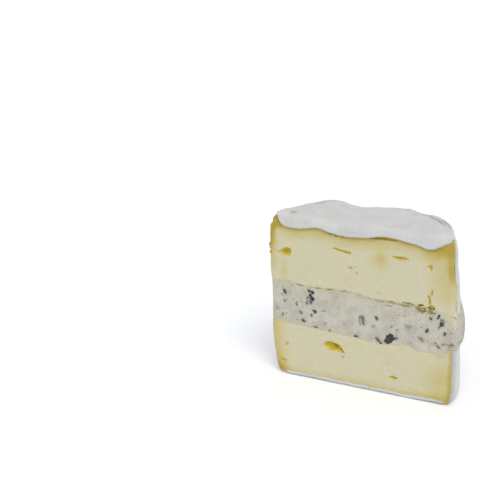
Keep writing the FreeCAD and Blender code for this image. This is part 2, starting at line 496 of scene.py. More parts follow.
@dataclass
class LayerSolid:
    """One layer of the half: a modelled cut face and the round body behind it.

    Attributes:
        half: Outlines of the half.
        layer: The solid that this piece stands for.
        name: Name of the piece.
        spacing: Distance between points on the cut face.
        turns: Steps from the cut face to the back.
    """

    half: Half
    layer: Layer
    name: str
    spacing: float
    turns: int

    def floor(self, x: float, y: float) -> float:
        """Height of the layer's underside."""
        raise NotImplementedError

    def roof(self, x: float, y: float) -> float:
        """Height of the layer's top."""
        raise NotImplementedError

    def radius(self, height: float, angle: float, behind: float) -> float:
        """Distance from the axis to the layer's side, given how far behind the cut it is."""
        raise NotImplementedError

    def relief(self, place: Vector) -> tuple[float, dict[Tint, float]]:
        """Depth of the cut face at a point, and the tints there."""
        raise NotImplementedError

    def side_tints(self, place: Vector) -> dict[Tint, float]:
        """Tints of the layer's round side."""
        return {}

    def side_gaps(self, place: Vector) -> tuple[float, float]:
        """Distances of a point of the cut from the layer's left and right edges."""
        return place.x + self.radius(place.z, math.pi, 0), self.radius(place.z, 0, 0) - place.x

    def cut_point(self, u: float, v: float) -> Vector:
        """Place on the cut plane for shares across and up.

        Args:
            u: Share of the way from the left edge to the right edge.
            v: Share of the way from the underside to the top.

        Returns:
            The place, found in a few steps because height and width depend on each other.
        """
        x = blend(-self.half.reach(self.half.skin, 40, 0), self.half.reach(self.half.skin, 40, 0), u)
        z = 0.0
        for _ in range(4):
            z = blend(self.floor(x, 0), self.roof(x, 0), v)
            x = blend(-self.radius(z, math.pi, 0), self.radius(z, 0, 0), u)
        return Vector((x, 0, z))

    def build(self, material: Material) -> Object:
        """Model the layer as one closed mesh.

        Args:
            material: Its finish.

        Returns:
            The piece, which replaces its solid in the frame.
        """
        bm = bmesh.new()
        share_u = bm.verts.layers.float.new("share_u")
        share_v = bm.verts.layers.float.new("share_v")
        tints = {tint: bm.verts.layers.float.new(tint.value) for tint in Tint}
        wide = 2 * self.radius(self.roof(0, 0), 0, 0)
        tall = self.roof(0, 0) - self.floor(0, 0)
        bmesh.ops.create_grid(
            bm, x_segments=round(wide / self.spacing), y_segments=round(tall / self.spacing), size=1
        )
        for vert in bm.verts:
            vert[share_u] = (vert.co.x + 1) / 2
            vert[share_v] = (vert.co.y + 1) / 2
            place = self.cut_point(vert[share_u], vert[share_v])
            depth, values = self.relief(place)
            vert.co = Vector((place.x, depth, place.z))
            for tint, value in values.items():
                vert[tints[tint]] = limit(value)
        rim = open_edges(bm)
        starts = {}
        for turn in range(1, self.turns + 1):
            points, rim = pull_out(bm, rim)
            angle = math.pi / 2 * (turn / self.turns) ** 1.25
            for vert in points:
                shares = (vert[share_u], vert[share_v])
                if shares not in starts:
                    starts[shares] = self.cut_point(*shares)
                    starts[shares].y = self.relief(starts[shares])[0]
                vert.co = self.swept_point(starts[shares], shares[1], angle)
                for tint, value in self.side_tints(vert.co).items():
                    vert[tints[tint]] = limit(value)
        bmesh.ops.remove_doubles(bm, verts=bm.verts, dist=WELD)
        bmesh.ops.recalc_face_normals(bm, faces=bm.faces)
        for share in ("share_u", "share_v"):
            bm.verts.layers.float.remove(bm.verts.layers.float[share])
        piece = place_piece(self.name, bm, self.half, material)
        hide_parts(self.layer.value)
        return piece

    def swept_point(self, start: Vector, v: float, angle: float) -> Vector:
        """Place of a point of the cut's rim once it is swept back round the axis.

        Args:
            start: The point on the cut, with its depth.
            v: Its share of the way up the layer.
            angle: How far it is swept.

        Returns:
            The place behind the cut.
        """
        behind = math.sin(angle) * DEPTH
        turned = angle if start.x >= 0 else math.pi - angle
        edge = self.radius(start.z, 0 if start.x >= 0 else math.pi, 0)
        share = abs(start.x) / edge
        z = start.z
        for _ in range(2):
            reach = self.radius(z, turned, behind)
            x = reach * share * math.cos(turned)
            y = reach * math.sin(turned)
            z = blend(self.floor(x, y), self.roof(x, y), v)
        return Vector((x, y + start.y * ease(5, 0, behind), z))


@dataclass
class PasteLayer(LayerSolid):
    """Ripe paste of one wheel, pale in the middle and golden under its rind.

    Attributes:
        eyes: Holes and tears in the cut.
        seed: Number that picks the layer's own noise.
        tuck: How far the hidden side stays inside the rind.
    """

    eyes: tuple[Eye, ...]
    seed: float
    tuck: float = 2.0

    def radius(self, height: float, angle: float, behind: float) -> float:
        """Side of the paste: at the cut it meets the rind, further back it hides inside it.

        Args:
            height: Height above the base.
            angle: Direction from the axis.
            behind: Distance behind the cut.

        Returns:
            The radius there.
        """
        reach = self.half.reach(self.half.right, height, angle)
        torn = layered(Vector((0, 0, height)), 3.4, self.seed + 40)
        reach += 0.4 * torn * ease(0.4, 0.9, math.cos(angle)) * ease(2.5, 0, behind)
        bare = ease(-0.8, -0.95, math.cos(angle)) * ease(77, 83, height)
        hidden = blend(ease(1.0, 5.0, behind), ease(4.5, 8.0, behind), bare)
        return reach - self.tuck * hidden

    def seam_gap(self, place: Vector) -> float:
        """Distance from the seam with the cream."""
        raise NotImplementedError

    def golden_level(self, place: Vector) -> float:
        """How golden the paste is, from 0 to 1."""
        raise NotImplementedError

    def relief(self, place: Vector) -> tuple[float, dict[Tint, float]]:
        """Depth and tints of the cut: broad waves, knife drag, eyes and worn edges.

        Args:
            place: Point on the cut plane.

        Returns:
            The depth behind the plane, and the tints by kind.
        """
        seed = self.seed
        depth = 0.28 * rough(place, 24, seed) + 0.10 * layered(place, 6, seed + 3)
        drag = Vector((place.x * 0.10, 0, place.z + place.x * 0.06))
        depth += 0.03 * rough(drag, 1.1, seed + 5)
        gap = self.seam_gap(place)
        broken, strength = broken_seam(place.x, seed)
        crevice = hump(gap - 0.1, 0.42) * strength
        depth += 0.8 * crevice + 0.30 * layered(place, 1.5, seed + 8) * hump(gap, 2.0)
        left_gap, right_gap = self.side_gaps(place)
        worn = 0.6 + 0.6 * rough(place, 2.2, seed + 9)
        depth += 0.5 * ease(1.5, 0, left_gap) ** 2
        depth += 0.5 * worn * ease(0.8, 0, right_gap) ** 2
        depth -= 0.25 * hump(left_gap - 3, 3) + 0.2 * hump(right_gap - 3.4, 2.4)
        sunk, golden = sink_all(self.eyes, place)
        return depth + sunk, {
            Tint.RIPE: self.golden_level(place),
            Tint.HOLLOW: golden,
            Tint.SEAM: crevice * broken,
        }


@dataclass
class UpperPaste(PasteLayer):
    """Paste of the upper wheel, with a golden horn left bare at its corner."""

    def floor(self, x: float, y: float) -> float:
        """The seam on top of the cream."""
        return self.half.over_cream(x, y)

    def roof(self, x: float, y: float) -> float:
        """Top of the paste, just under the rind, and lower where it can't be seen.

        Args:
            x: Place across.
            y: Place behind the cut.

        Returns:
            The height there.
        """
        out = math.hypot(x, y)
        corner = 1.9 * ease(47.5, 51.5, x) * ease(4, 0, y)
        level = self.half.top - 1.1 - (5.0 - corner) * ease(45.5, 53.5, out)
        level -= 2.4 * blend(ease(1.5, 8, y), ease(9, 14, y), ease(-41, -46, x))
        level += 3.3 * ease(-42, -47, x) * ease(16, 8, y)
        return level + 1.4 * hump(math.hypot(x + 50.6, y / 2), 2.6)

    def seam_gap(self, place: Vector) -> float:
        """Height above the seam."""
        return place.z - self.half.upper_seam.at(place.x)

    def relief(self, place: Vector) -> tuple[float, dict[Tint, float]]:
        """The cut, rolled back at the top so that it stays under the rind.

        Args:
            place: Point on the cut plane.

        Returns:
            The depth behind the plane, and the tints by kind.
        """
        depth, tints = super().relief(place)
        bare = ease(-46.8, -48.6, place.x)
        roll = ease(85.5, 90.4, place.z) ** 2 * 3.4
        bare_right = ease(48.5, 51.5, place.x)
        depth += roll * (1 - bare) * (1 - 0.7 * bare_right) + 0.8 * ease(89.6, 91.8, place.z) * bare
        depth -= 0.35 * hump(place.x + 50.6, 1.6) * ease(83.5, 87, place.z)
        return depth, tints

    def golden_level(self, place: Vector) -> float:
        """Golden under the hanging rind, at both sides and most of all at the horn, with painted shade in
        amber right under the lip.

        Args:
            place: Point on the cut plane.

        Returns:
            How golden the paste is, from 0 to 1.
        """
        under = self.half.lip.at(place.x) - place.z
        left_gap, right_gap = self.side_gaps(place)
        # Ripening under the rind, plus a narrow amber band right under the lip that is painted shade from the
        # hanging rind.
        level = 0.40 * ease(9.0, 1.5, under) + 0.38 * ease(2.4, 0, under)
        level += 0.34 * ease(8, 1.2, left_gap) * ease(58, 66, place.z)
        level += 0.45 * ease(3.2, 0.2, left_gap) * ease(66, 80, place.z)
        level += 0.34 * ease(20, 3, right_gap) * ease(50, 60, place.z)
        level -= 0.12 * ease(4, 1, right_gap) * ease(68, 60, place.z)
        level += 0.42 * ease(4.6, 1.4, right_gap) * ease(60, 70, place.z)
        level += 0.16 * ease(14, 4, right_gap) * ease(11, 2, under)
        level += 0.75 * ease(-45.5, -49, place.x) * ease(83, 87, place.z)
        level += 0.40 * ease(-48, -51.5, place.x) * ease(68, 84, place.z)
        level += 0.50 * hump(math.hypot(place.x - 13.4, place.z - 73.6), 4.6)
        level += 0.34 * hump(math.hypot(place.x + 45.6, (place.z - 61) / 3.2), 2.0)
        level += 0.07 * layered(place, 9, self.seed + 11)
        return min(level, 0.9)


@dataclass
class LowerPaste(PasteLayer):
    """Paste of the lower wheel."""

    def floor(self, x: float, y: float) -> float:
        """Underside of the paste, just over the rind's underside.

        Args:
            x: Place across.
            y: Place behind the cut.

        Returns:
            The height there.
        """
        out = math.hypot(x, y)
        wave = 0.2 * rough(Vector((x, y, 0)), 5.5, self.seed + 13) * ease(2, 0, y)
        round_left = blend(1.6, 0.5, ease(-10, 30, x) * ease(6, 0, y))
        return 1.35 + wave + round_left * ease(47.5, 52.5, out) + 1.2 * ease(1.5, 8, y)

    def roof(self, x: float, y: float) -> float:
        """The seam under the cream."""
        return self.half.under_cream(x, y)

    def seam_gap(self, place: Vector) -> float:
        """Distance below the seam, which is softer here than on top of the cream."""
        return (self.half.under_cream(place.x, 0) - place.z) * 1.2 + 0.5

    def golden_level(self, place: Vector) -> float:
        """Golden along the foot and towards both sides, most at the lower right.

        Args:
            place: Point on the cut plane.

        Returns:
            How golden the paste is, from 0 to 1.
        """
        left_gap, right_gap = self.side_gaps(place)
        foot = place.z - self.floor(place.x, 0)
        level = 0.43 * ease(11, 1, left_gap)
        level += 0.30 * ease(5.5, 0.6, foot)
        level += 0.26 * ease(22, 4, right_gap) * ease(24, 14, place.z)
        level += 0.12 * ease(16, 3, right_gap)
        level += 0.34 * ease(2.6, 0.4, right_gap)
        level += 0.30 * ease(-40, -50, place.x) * ease(14, 3, place.z)
        level += 0.06 * layered(place, 9, self.seed + 11)
        return level


@dataclass
class CreamLayer(LayerSolid):
    """Truffle cream between the wheels, sagging out at the right and at the back.

    Attributes:
        pits: Small tears in the cut.
        seed: Number that picks the layer's own noise.
    """

    pits: tuple[Eye, ...]
    seed: float

    def floor(self, x: float, y: float) -> float:
        """The seam on top of the lower wheel."""
        return self.half.under_cream(x, y)

    def roof(self, x: float, y: float) -> float:
        """The seam under the upper wheel."""
        return self.half.over_cream(x, y)

    def radius(self, height: float, angle: float, behind: float) -> float:
        """Side of the cream: it swells from the cut's edge to the silhouette.

        Args:
            height: Height above the base.
            angle: Direction from the axis.
            behind: Distance behind the cut.

        Returns:
            The radius there.
        """
        cut_edge = self.half.reach(self.half.right, height, angle)
        swollen = self.half.reach(self.half.skin, height, angle) - 0.1
        place = Vector((math.cos(angle) * SIDE, math.sin(angle) * SIDE, height))
        lumps = 0.35 * rough(place, 14, self.seed) + 0.22 * layered(place, 4, self.seed + 1)
        lumps += 0.30 * layered(place, 2.6, self.seed + 3) * ease(0.75, 0.2, angle) * ease(44, 36, height)
        sag = 1.3 * math.sin(angle) ** 2 * ease(29, 33, height) * ease(54, 44, height)
        return blend(cut_edge, swollen + sag + lumps, ease(0, 2.2, behind))

    def relief(self, place: Vector) -> tuple[float, dict[Tint, float]]:
        """Depth and tints of the cut: a crumbly spread, torn along its top seam.

        Args:
            place: Point on the cut plane.

        Returns:
            The depth behind the plane, and the tints by kind.
        """
        seed = self.seed
        depth = 0.16 * rough(place, 15, seed) + 0.13 * layered(place, 3.2, seed + 2)
        depth += 0.05 * layered(place, 1.1, seed + 6)
        top_gap = self.half.upper_seam.at(place.x) - place.z
        low_gap = place.z - self.half.under_cream(place.x, 0)
        broken, strength = broken_seam(place.x, UPPER_SEED)
        crevice = hump(top_gap, 0.36) * strength
        depth += 0.7 * crevice + 0.06 * hump(low_gap, 0.5)
        depth += 0.2 * layered(place, 1.4, seed + 8) * hump(top_gap, 2)
        left_gap, right_gap = self.side_gaps(place)
        depth += 0.5 * ease(1.4, 0, left_gap) ** 2 + 1.5 * ease(3.6, 0, right_gap) ** 2
        thin = ease(1.9, 0.0, low_gap + 0.5 * rough(place, 4, seed + 4))
        low_soft = (0.75 - 0.4 * ease(-20, 10, place.x)) * thin
        droop = ease(5.0, 2.0, abs(place.x - 46.4)) * ease(29.5, 27.5, place.z)
        smear = 0.75 * hump(math.hypot(place.x - 51.0, (place.z - 46.6) * 1.1), 2.8)
        smear += 0.12 * ease(7, 1, top_gap)
        sunk, olive = sink_all(self.pits, place)
        return depth + sunk, {
            Tint.SEAM: crevice * broken,
            Tint.STAIN: 0.5 * self.juice(place),
            Tint.SKIN: 0.35 * ease(2.5, 0, right_gap),
            Tint.HOLLOW: olive,
            Tint.RIPE: max(low_soft, 0.5 * droop, 0.55 * ease(2.6, 0.3, left_gap), smear),
        }

    def juice(self, place: Vector) -> float:
        """How much the truffle has greyed the cream round its pieces.

        Args:
            place: Point on the cut plane.

        Returns:
            The share, from 0 to 1.
        """
        level = 0.0
        for chip in CHIPS:
            gap = math.hypot(place.x - chip.across, place.z - chip.up) - 0.2 * (chip.wide + chip.tall)
            if gap < 2.0:
                level = max(level, (1 - 0.8 * chip.smear) * hump(max(gap, 0.0), 0.8))
        return level

    def side_tints(self, place: Vector) -> dict[Tint, float]:
        """The side has a dry skin."""
        return {Tint.SKIN: ease(0, 4.5, place.y) * (0.75 + 0.25 * rough(place, 3.5, self.seed + 9))}


# ---------------------------------------------------------------- rind


# Marks that guide the modelling of a rind and are removed when it is done.
GUIDES = ("front", "lean", "home_x", "home_z")


@dataclass
class Rind:
    """A shell of white mould over one wheel.

    Attributes:
        half: Outlines of the half.
        name: Name of the piece.
        flat: Radius where the flat face turns into the shoulder.
        thick: Thickness of the shell.
        seed: Number that picks the shell's own noise.
        columns: Squares across the flat face.
        bends: Rows round the shoulder or foot.
        wall: Height of the wall, from which its rows are counted.
        wall_step: Height of one row of the wall.
    """

    half: Half
    name: str
    flat: float
    thick: float
    seed: float
    columns: int = 150
    bends: int = 9
    wall: float = 36.0
    wall_step: float = 0.75

    def face_level(self) -> float:
        """Height of the flat face."""
        raise NotImplementedError

    def bend_level(self) -> float:
        """Height where the shoulder or foot turns into the wall."""
        raise NotImplementedError

    def brim_level(self, x: float, y: float) -> float:
        """Height of the wall's open edge at the seam."""
        raise NotImplementedError

    def half_disc(self, bm: BMesh) -> None:
        """Lay a grid over the flat half-disc, with no pole, and mark its edges.

        Args:
            bm: The empty mesh.
        """
        for mark in GUIDES + (Tint.STAIN.value, Tint.SKIN.value):
            bm.verts.layers.float.new(mark)
        front = bm.verts.layers.float["front"]
        bmesh.ops.create_grid(bm, x_segments=self.columns, y_segments=self.columns // 2, size=1)
        for vert in bm.verts:
            across = vert.co.x
            along = (vert.co.y + 1) / 2
            vert[front] = 1.0 if along < 1e-4 else 0.0
            x = across * math.sqrt(1 - along ** 2 / 2) * self.flat
            y = along * math.sqrt(1 - across ** 2 / 2) * self.flat
            vert.co = Vector((x, y, 0))

    def wall_rows(self) -> list[tuple[float, float, float]]:
        """Rows of the wall below the flat face: share round the shoulder, share down, tuck."""
        raise NotImplementedError

    def pull_wall(self, bm: BMesh) -> None:
        """Draw the wall out of the flat face's round edge, row by row.

        Args:
            bm: The mesh, which holds the flat face.
        """
        front = bm.verts.layers.float["front"]
        rim = [edge for edge in open_edges(bm) if not all(vert[front] for vert in edge.verts)]
        for row in self.wall_rows():
            points, rim = pull_out(bm, rim)
            for vert in points:
                self.place_wall(bm, vert, row)

    def place_wall(self, bm: BMesh, vert: BMVert, row: tuple[float, ...]) -> None:
        """Put one point of the wall in its place.

        Args:
            bm: The mesh.
            vert: The point, which still lies where the last row left it.
            row: Share round the shoulder, share along the wall and tuck.
        """
        share, along, tuck = row
        angle = math.atan2(vert.co.y, vert.co.x)
        turn = share * math.pi / 2
        edge = self.half.reach(self.half.skin, self.bend_level(), angle)
        out = self.flat + (edge - self.flat) * math.sin(turn)
        level = blend(self.face_level(), self.bend_level(), 1 - math.cos(turn))
        if along > 0:
            brim = self.brim_level(math.cos(angle) * edge, math.sin(angle) * edge)
            level = blend(self.bend_level(), brim, along)
            out = self.half.reach(self.half.skin, level, angle) - tuck
        vert.co = Vector((out * math.cos(angle), out * math.sin(angle), level))

    def wrinkle(self, place: Vector) -> float:
        """Unevenness of the mould skin at a point, in millimetres outwards.

        Args:
            place: The point.

        Returns:
            How far the skin stands out there.
        """
        value = 0.34 * rough(place, 13, self.seed) + 0.16 * layered(place, 4.4, self.seed + 2)
        crease = abs(rough(place, 7.5, self.seed + 4))
        return value - 0.16 * hump(crease, 0.06) + 0.05 * rough(place, 1.3, self.seed + 6)

    def finish(self, bm: BMesh, material: Material, outside: Vector) -> Object:
        """Give the shell its thickness and turn it into a piece.

        Args:
            bm: The outer surface, in millimetres from the axis.
            material: Its finish.
            outside: Direction in which the flat face looks.

        Returns:
            The piece.
        """
        bmesh.ops.recalc_face_normals(bm, faces=bm.faces)
        beyond = Vector((0, DEPTH / 2, outside.z * self.half.top))
        flat_face = min(bm.faces, key=lambda face: (face.calc_center_median() - beyond).length)
        flat_face.normal_update()
        if flat_face.normal.dot(outside) < 0:
            bmesh.ops.reverse_faces(bm, faces=bm.faces)
        for mark in GUIDES:
            bm.verts.layers.float.remove(bm.verts.layers.float[mark])
        piece = place_piece(self.name, bm, self.half, material)
        shell = piece.modifiers.new("thickness", "SOLIDIFY")
        shell.thickness = self.thick * MM
        shell.offset = -1
        return piece


@dataclass
class UpperRind(Rind):
    """Rind of the upper wheel, with the flap that the knife dragged over the cut.

    Attributes:
        proud: How far the flap stands in front of the cut.
        shoulder: Height of the shoulder's round.
        rolls: Rows in the round edge from which the flap hangs.
        drops: Rows in the hanging part of the flap.
        brim: How far the top's edge lies above its middle, by direction in degrees.
    """

    proud: float = 1.45
    shoulder: float = 6.0
    rolls: int = 7
    drops: int = 12
    brim: Line = Line((
        (0.0, -0.3), (20.0, -1.3), (40.0, -1.6), (58.0, -1.3), (70.0, -1.7), (80.0, -0.5), (100.0, -0.5),
        (112.0, -0.8), (120.0, 0.5), (127.0, 2.8), (136.0, 4.1), (147.0, 3.6), (160.0, 3.1), (180.0, 2.8),
    ))

    def face_level(self) -> float:
        """Height of the top before it sags."""
        return self.half.top

    def bend_level(self) -> float:
        """Height of the shoulder's foot."""
        return self.half.top - self.shoulder

    def brim_level(self, x: float, y: float) -> float:
        """Height of the open edge, which is tucked into the cream."""
        return self.half.over_cream(x, y) - 1.4

    def top_level(self, x: float, y: float) -> float:
        """Height of the top: a slack skin, high at the back left and low at the back right.

        Args:
            x: Place across.
            y: Place behind the cut.

        Returns:
            The height there.
        """
        out = math.hypot(x, y)
        turn = math.degrees(math.atan2(max(y, 0.0), x))
        level = self.half.top + self.brim.at(turn) * ease(12, 46, out)
        level += 0.4 * rough(Vector((x, y, 0)), 21, self.seed + 9) * ease(0, 10, y)
        return level

    def roll(self, x: float, z: float) -> float:
        """Radius with which the top turns down over the cut."""
        return limit((z - self.half.lip.at(x)) * 0.6, 0.5, 4.2)

    def front_shift(self, x: float, z: float) -> float:
        """How far the front edge of the outer surface stands behind the cut plane.

        Args:
            x: Place across.
            z: Height above the base.

        Returns:
            The distance behind the plane.
        """
        rolled = self.roll(x, z) - self.proud_at(x)
        torn = ease(-47.2, -49.0, x) * ease(76, 86, z)
        recess = 1.1 * ease(-45, -51, x) + 0.8 * ease(49, 52.5, x)
        return blend(rolled * ease(84.5, 87.5, z), 5.0, torn) + recess

    def proud_at(self, x: float) -> float:
        """How far the flap stands out, which fades where it ends at the right."""
        return 0.15 + self.proud * ease(54.0, 47.5, x)

    def build(self, material: Material) -> Object:
        """Model the rind: top, shoulder, wall and the flap in front.

        Args:
            material: Its finish.

        Returns:
            The piece.
        """
        bm = bmesh.new()
        self.half_disc(bm)
        front = bm.verts.layers.float["front"]
        for vert in bm.verts:
            vert.co.z = self.half.top
        self.pull_wall(bm)
        for vert in bm.verts:
            shift = self.front_shift(vert.co.x, vert.co.z)
            vert.co.y += shift * ease(15, 0, vert.co.y)
        self.hang_flap(bm, [edge for edge in open_edges(bm) if all(vert[front] > 0.5 for vert in edge.verts)])
        stain = bm.verts.layers.float[Tint.STAIN.value]
        for vert in bm.verts:
            vert[stain] = self.weather(vert)
        return self.finish(bm, material, Vector((0, 0, 1)))

    def wall_rows(self) -> list[tuple[float, float, float]]:
        """Shoulder rows, then rows down the wall, the last ones tucked under.

        Returns:
            Share round the shoulder, share down the wall and tuck of each row.
        """
        rows = [(turn / self.bends, 0.0, 0.0) for turn in range(1, self.bends + 1)]
        count = round(self.wall / self.wall_step)
        rows += [(1.0, row / count, 1.5 * ease(0.90, 1.0, row / count)) for row in range(1, count + 1)]
        return rows

    def place_wall(self, bm: BMesh, vert: BMVert, row: tuple[float, ...]) -> None:
        """Put one point of the wall in its place, and mark it if the flap hangs from it.

        Args:
            bm: The mesh.
            vert: The point, which still lies where the last row left it.
            row: Share round the shoulder, share along the wall and tuck.
        """
        super().place_wall(bm, vert, row)
        at_cut = not 0.01 < math.atan2(vert.co.y, vert.co.x) < 3.13
        hanging = at_cut and vert.co.z > self.half.lip.at(vert.co.x) + 0.4 and row[1] == 0
        vert[bm.verts.layers.float["lean"]] = row[0]
        vert[bm.verts.layers.float["front"]] = 1.0 if hanging else 0.0

    def hang_flap(self, bm: BMesh, chain: list[BMEdge]) -> None:
        """Roll the front edge over and hang it down to the lip.

        Args:
            bm: The mesh.
            chain: The edges along the front of the top and its shoulders.
        """
        lean = bm.verts.layers.float["lean"]
        skin = bm.verts.layers.float[Tint.SKIN.value]
        home_x = bm.verts.layers.float["home_x"]
        home_z = bm.verts.layers.float["home_z"]
        for edge in chain:
            for vert in edge.verts:
                vert[home_x] = vert.co.x
                vert[home_z] = vert.co.z
        for row in range(1, self.rolls + self.drops + 1):
            points, chain = pull_out(bm, chain)
            for vert in points:
                start = Vector((vert[home_x], 0, vert[home_z]))
                vert.co = self.flap_point(start, vert[lean], row)
                # The hanging part is marked for the rind's bluish lip colour, a painted cool highlight.
                vert[skin] = limit((row - self.rolls) / self.drops)

    def flap_point(self, start: Vector, lean: float, row: int) -> Vector:
        """Place of a flap point in a given row.

        Args:
            start: The point of the top edge from which it hangs.
            lean: Share of the way round the shoulder.
            row: Row from the top edge, starting at 1.

        Returns:
            The place, in millimetres from the axis.
        """
        proud = self.proud_at(start.x) * (1 + 0.24 * rough_along(start.x, 8, self.seed + 20))
        roll = self.roll(start.x, start.z)
        slant = lean * math.pi / 2
        inward = Vector((-math.sin(slant), 0, -math.cos(slant)))
        turn = min(row / self.rolls, 1.0) * math.pi / 2
        place = Vector((start.x, -proud + roll * (1 - math.sin(turn)), start.z))
        place += inward * roll * (1 - math.cos(turn))
        if row > self.rolls:
            share = 1 - (1 - (row - self.rolls) / self.drops) ** 1.7
            lip = min(self.half.lip.at(place.x), place.z - 0.4)
            lip += 0.22 * rough_along(place.x, 1.7, self.seed + 21)
            left = (place.z - lip) * (1 - share)
            place.z = lip + left
            edge = 1.1
            if left < edge:
                place.y = 0.5 - (proud + 0.5) * math.sqrt(1 - (1 - left / edge) ** 2)
        return place

    def weather(self, vert: BMVert) -> float:
        """Wrinkle one point of the shell.

        Args:
            vert: The point.

        Returns:
            How stained the shell is there, from 0 to 1.
        """
        place = vert.co.copy()
        out = math.hypot(place.x, place.y)
        on_top = ease(self.half.top - 4, self.half.top - 0.5, place.z) * ease(54, 46, out)
        lift = self.top_level(place.x, place.y) - self.half.top
        share = ease(self.half.top - 6.5, self.half.top - 0.5, place.z)
        vert.co.z += lift * share
        turn = math.degrees(math.atan2(max(place.y, 0.0), place.x))
        crumpled = hump(turn - 40, 24) * ease(38, 46, out) * ease(74, 86, place.z)
        knob = hump(turn - 80, 2.5) * ease(44, 47, out) * ease(84, 89, place.z)
        swell = self.wrinkle(place) + 0.55 * crumpled * layered(place, 2.6, self.seed + 31) + 0.5 * knob
        radial = Vector((place.x, place.y, 0)) / max(out, 1)
        if place.y < 0:
            vert.co.y -= 0.5 * swell * ease(0.3, -0.9, place.y)
        vert.co.z += swell * on_top
        if out > self.flat and place.y > 0.3:
            vert.co += radial * swell * (1 - on_top)
        corner = hump(math.hypot(place.x + 39.8, (place.y - 2.5) / 1.2), 1.8) * ease(87, 90, place.z)
        ridge = hump(turn - 142, 9) * hump(out - 44.6, 1.5) * ease(88, 90.5, place.z)
        bend = 0.9 * rough(place, 9, self.seed + 35)
        folds = hump(out - 45.0 - bend, 0.8) * hump(turn - 50, 22)
        folds = max(folds, 0.8 * hump(out - 47.4 - bend, 0.7) * hump(turn - 34, 16)) * ease(84, 88, place.z)
        spots = ease(0.05, 0.5, layered(place, 2.6, self.seed + 30))
        rubbed = ease(0.3, 0.6, layered(place, 3.4, self.seed + 33))
        marks = 0.9 * crumpled * ease(16, 30, turn) + 0.6 * knob
        lines = 0.9 * folds + 0.85 * ridge * (0.5 + 0.5 * spots) + 0.8 * corner
        vert.co.z -= 0.65 * folds + 0.3 * ridge
        return limit(spots * marks + lines + 0.10 * rubbed)


@dataclass
class LowerRind(Rind):
    """Rind of the lower wheel: flat underside, rounded foot and wall.

    Attributes:
        foot: Height of the foot's round.
    """

    foot: float = 4.6
    bends: int = 7
    wall: float = 25.0

    def face_level(self) -> float:
        """Height of the underside."""
        return 0.0

    def bend_level(self) -> float:
        """Height where the foot's round ends."""
        return self.foot

    def brim_level(self, x: float, y: float) -> float:
        """Height of the open edge, just under the cream."""
        return self.half.under_cream(x, y) - 0.1

    def build(self, material: Material) -> Object:
        """Model the rind from its underside up.

        Args:
            material: Its finish.

        Returns:
            The piece.
        """
        bm = bmesh.new()
        self.half_disc(bm)
        self.pull_wall(bm)
        stain = bm.verts.layers.float[Tint.STAIN.value]
        for vert in bm.verts:
            place = vert.co.copy()
            out = math.hypot(place.x, place.y)
            if place.z > 0.2 and out > self.flat:
                radial = Vector((place.x, place.y, 0)) / out
                vert.co += radial * self.wrinkle(place) * ease(0, 6, place.z) * ease(-1, 7, place.y)
            shift = 0.7 * ease(-44, -49, place.x) + 0.5 * ease(49, 51.5, place.x)
            shift += 0.2 * rough(place, 2.4, self.seed + 8) - 0.4 * ease(50.5, 48, abs(place.x))
            vert.co.y += shift * ease(8, 0, place.y)
            if place.z < 0.8:
                lifted = 0.65 + 0.5 * rough_along(place.x, 7, self.seed + 40)
                lifted += 0.25 * rough_along(place.x, 1.8, self.seed + 41)
                vert.co.z += lifted * ease(3.0, 0, place.y)
            rubbed = 0.5 * ease(0.3, 0.6, layered(place, 3, self.seed + 30)) * ease(8, 1, place.z)
            vert[stain] = limit(rubbed + 0.42 * ease(7, 0.5, place.y) * ease(40, 50, place.x))
        return self.finish(bm, material, Vector((0, 0, -1)))

    def wall_rows(self) -> list[tuple[float, float, float]]:
        """Foot rows, then rows up the wall, the last ones tucked under the cream.

        Returns:
            Share round the foot, share up the wall and tuck of each row.
        """
        rows = [(turn / self.bends, 0.0, 0.0) for turn in range(1, self.bends + 1)]
        count = round(self.wall / self.wall_step)
        rows += [(1.0, row / count, 0.0) for row in range(1, count)]
        rows += [(1.0, 0.985, 0.35), (1.0, 1.0, 1.0), (1.0, 1.0, 2.0)]
        return rows


# ---------------------------------------------------------------- truffle and crumbs


@dataclass(frozen=True)
class Chip:
    """A piece of truffle that shows in the cut, half sunk in the cream.

    Attributes:
        across: Place across the cut.
        up: Height of its middle.
        wide: Its width.
        tall: Its height.
        tilt: Turn in degrees.
        smear: How far cream veils it, from 0 to 1.
        brown: How brown it is, from 0 to 1.
    """

    across: float
    up: float
    wide: float
    tall: float
    tilt: float = 0.0
    smear: float = 0.0
    brown: float = 0.0


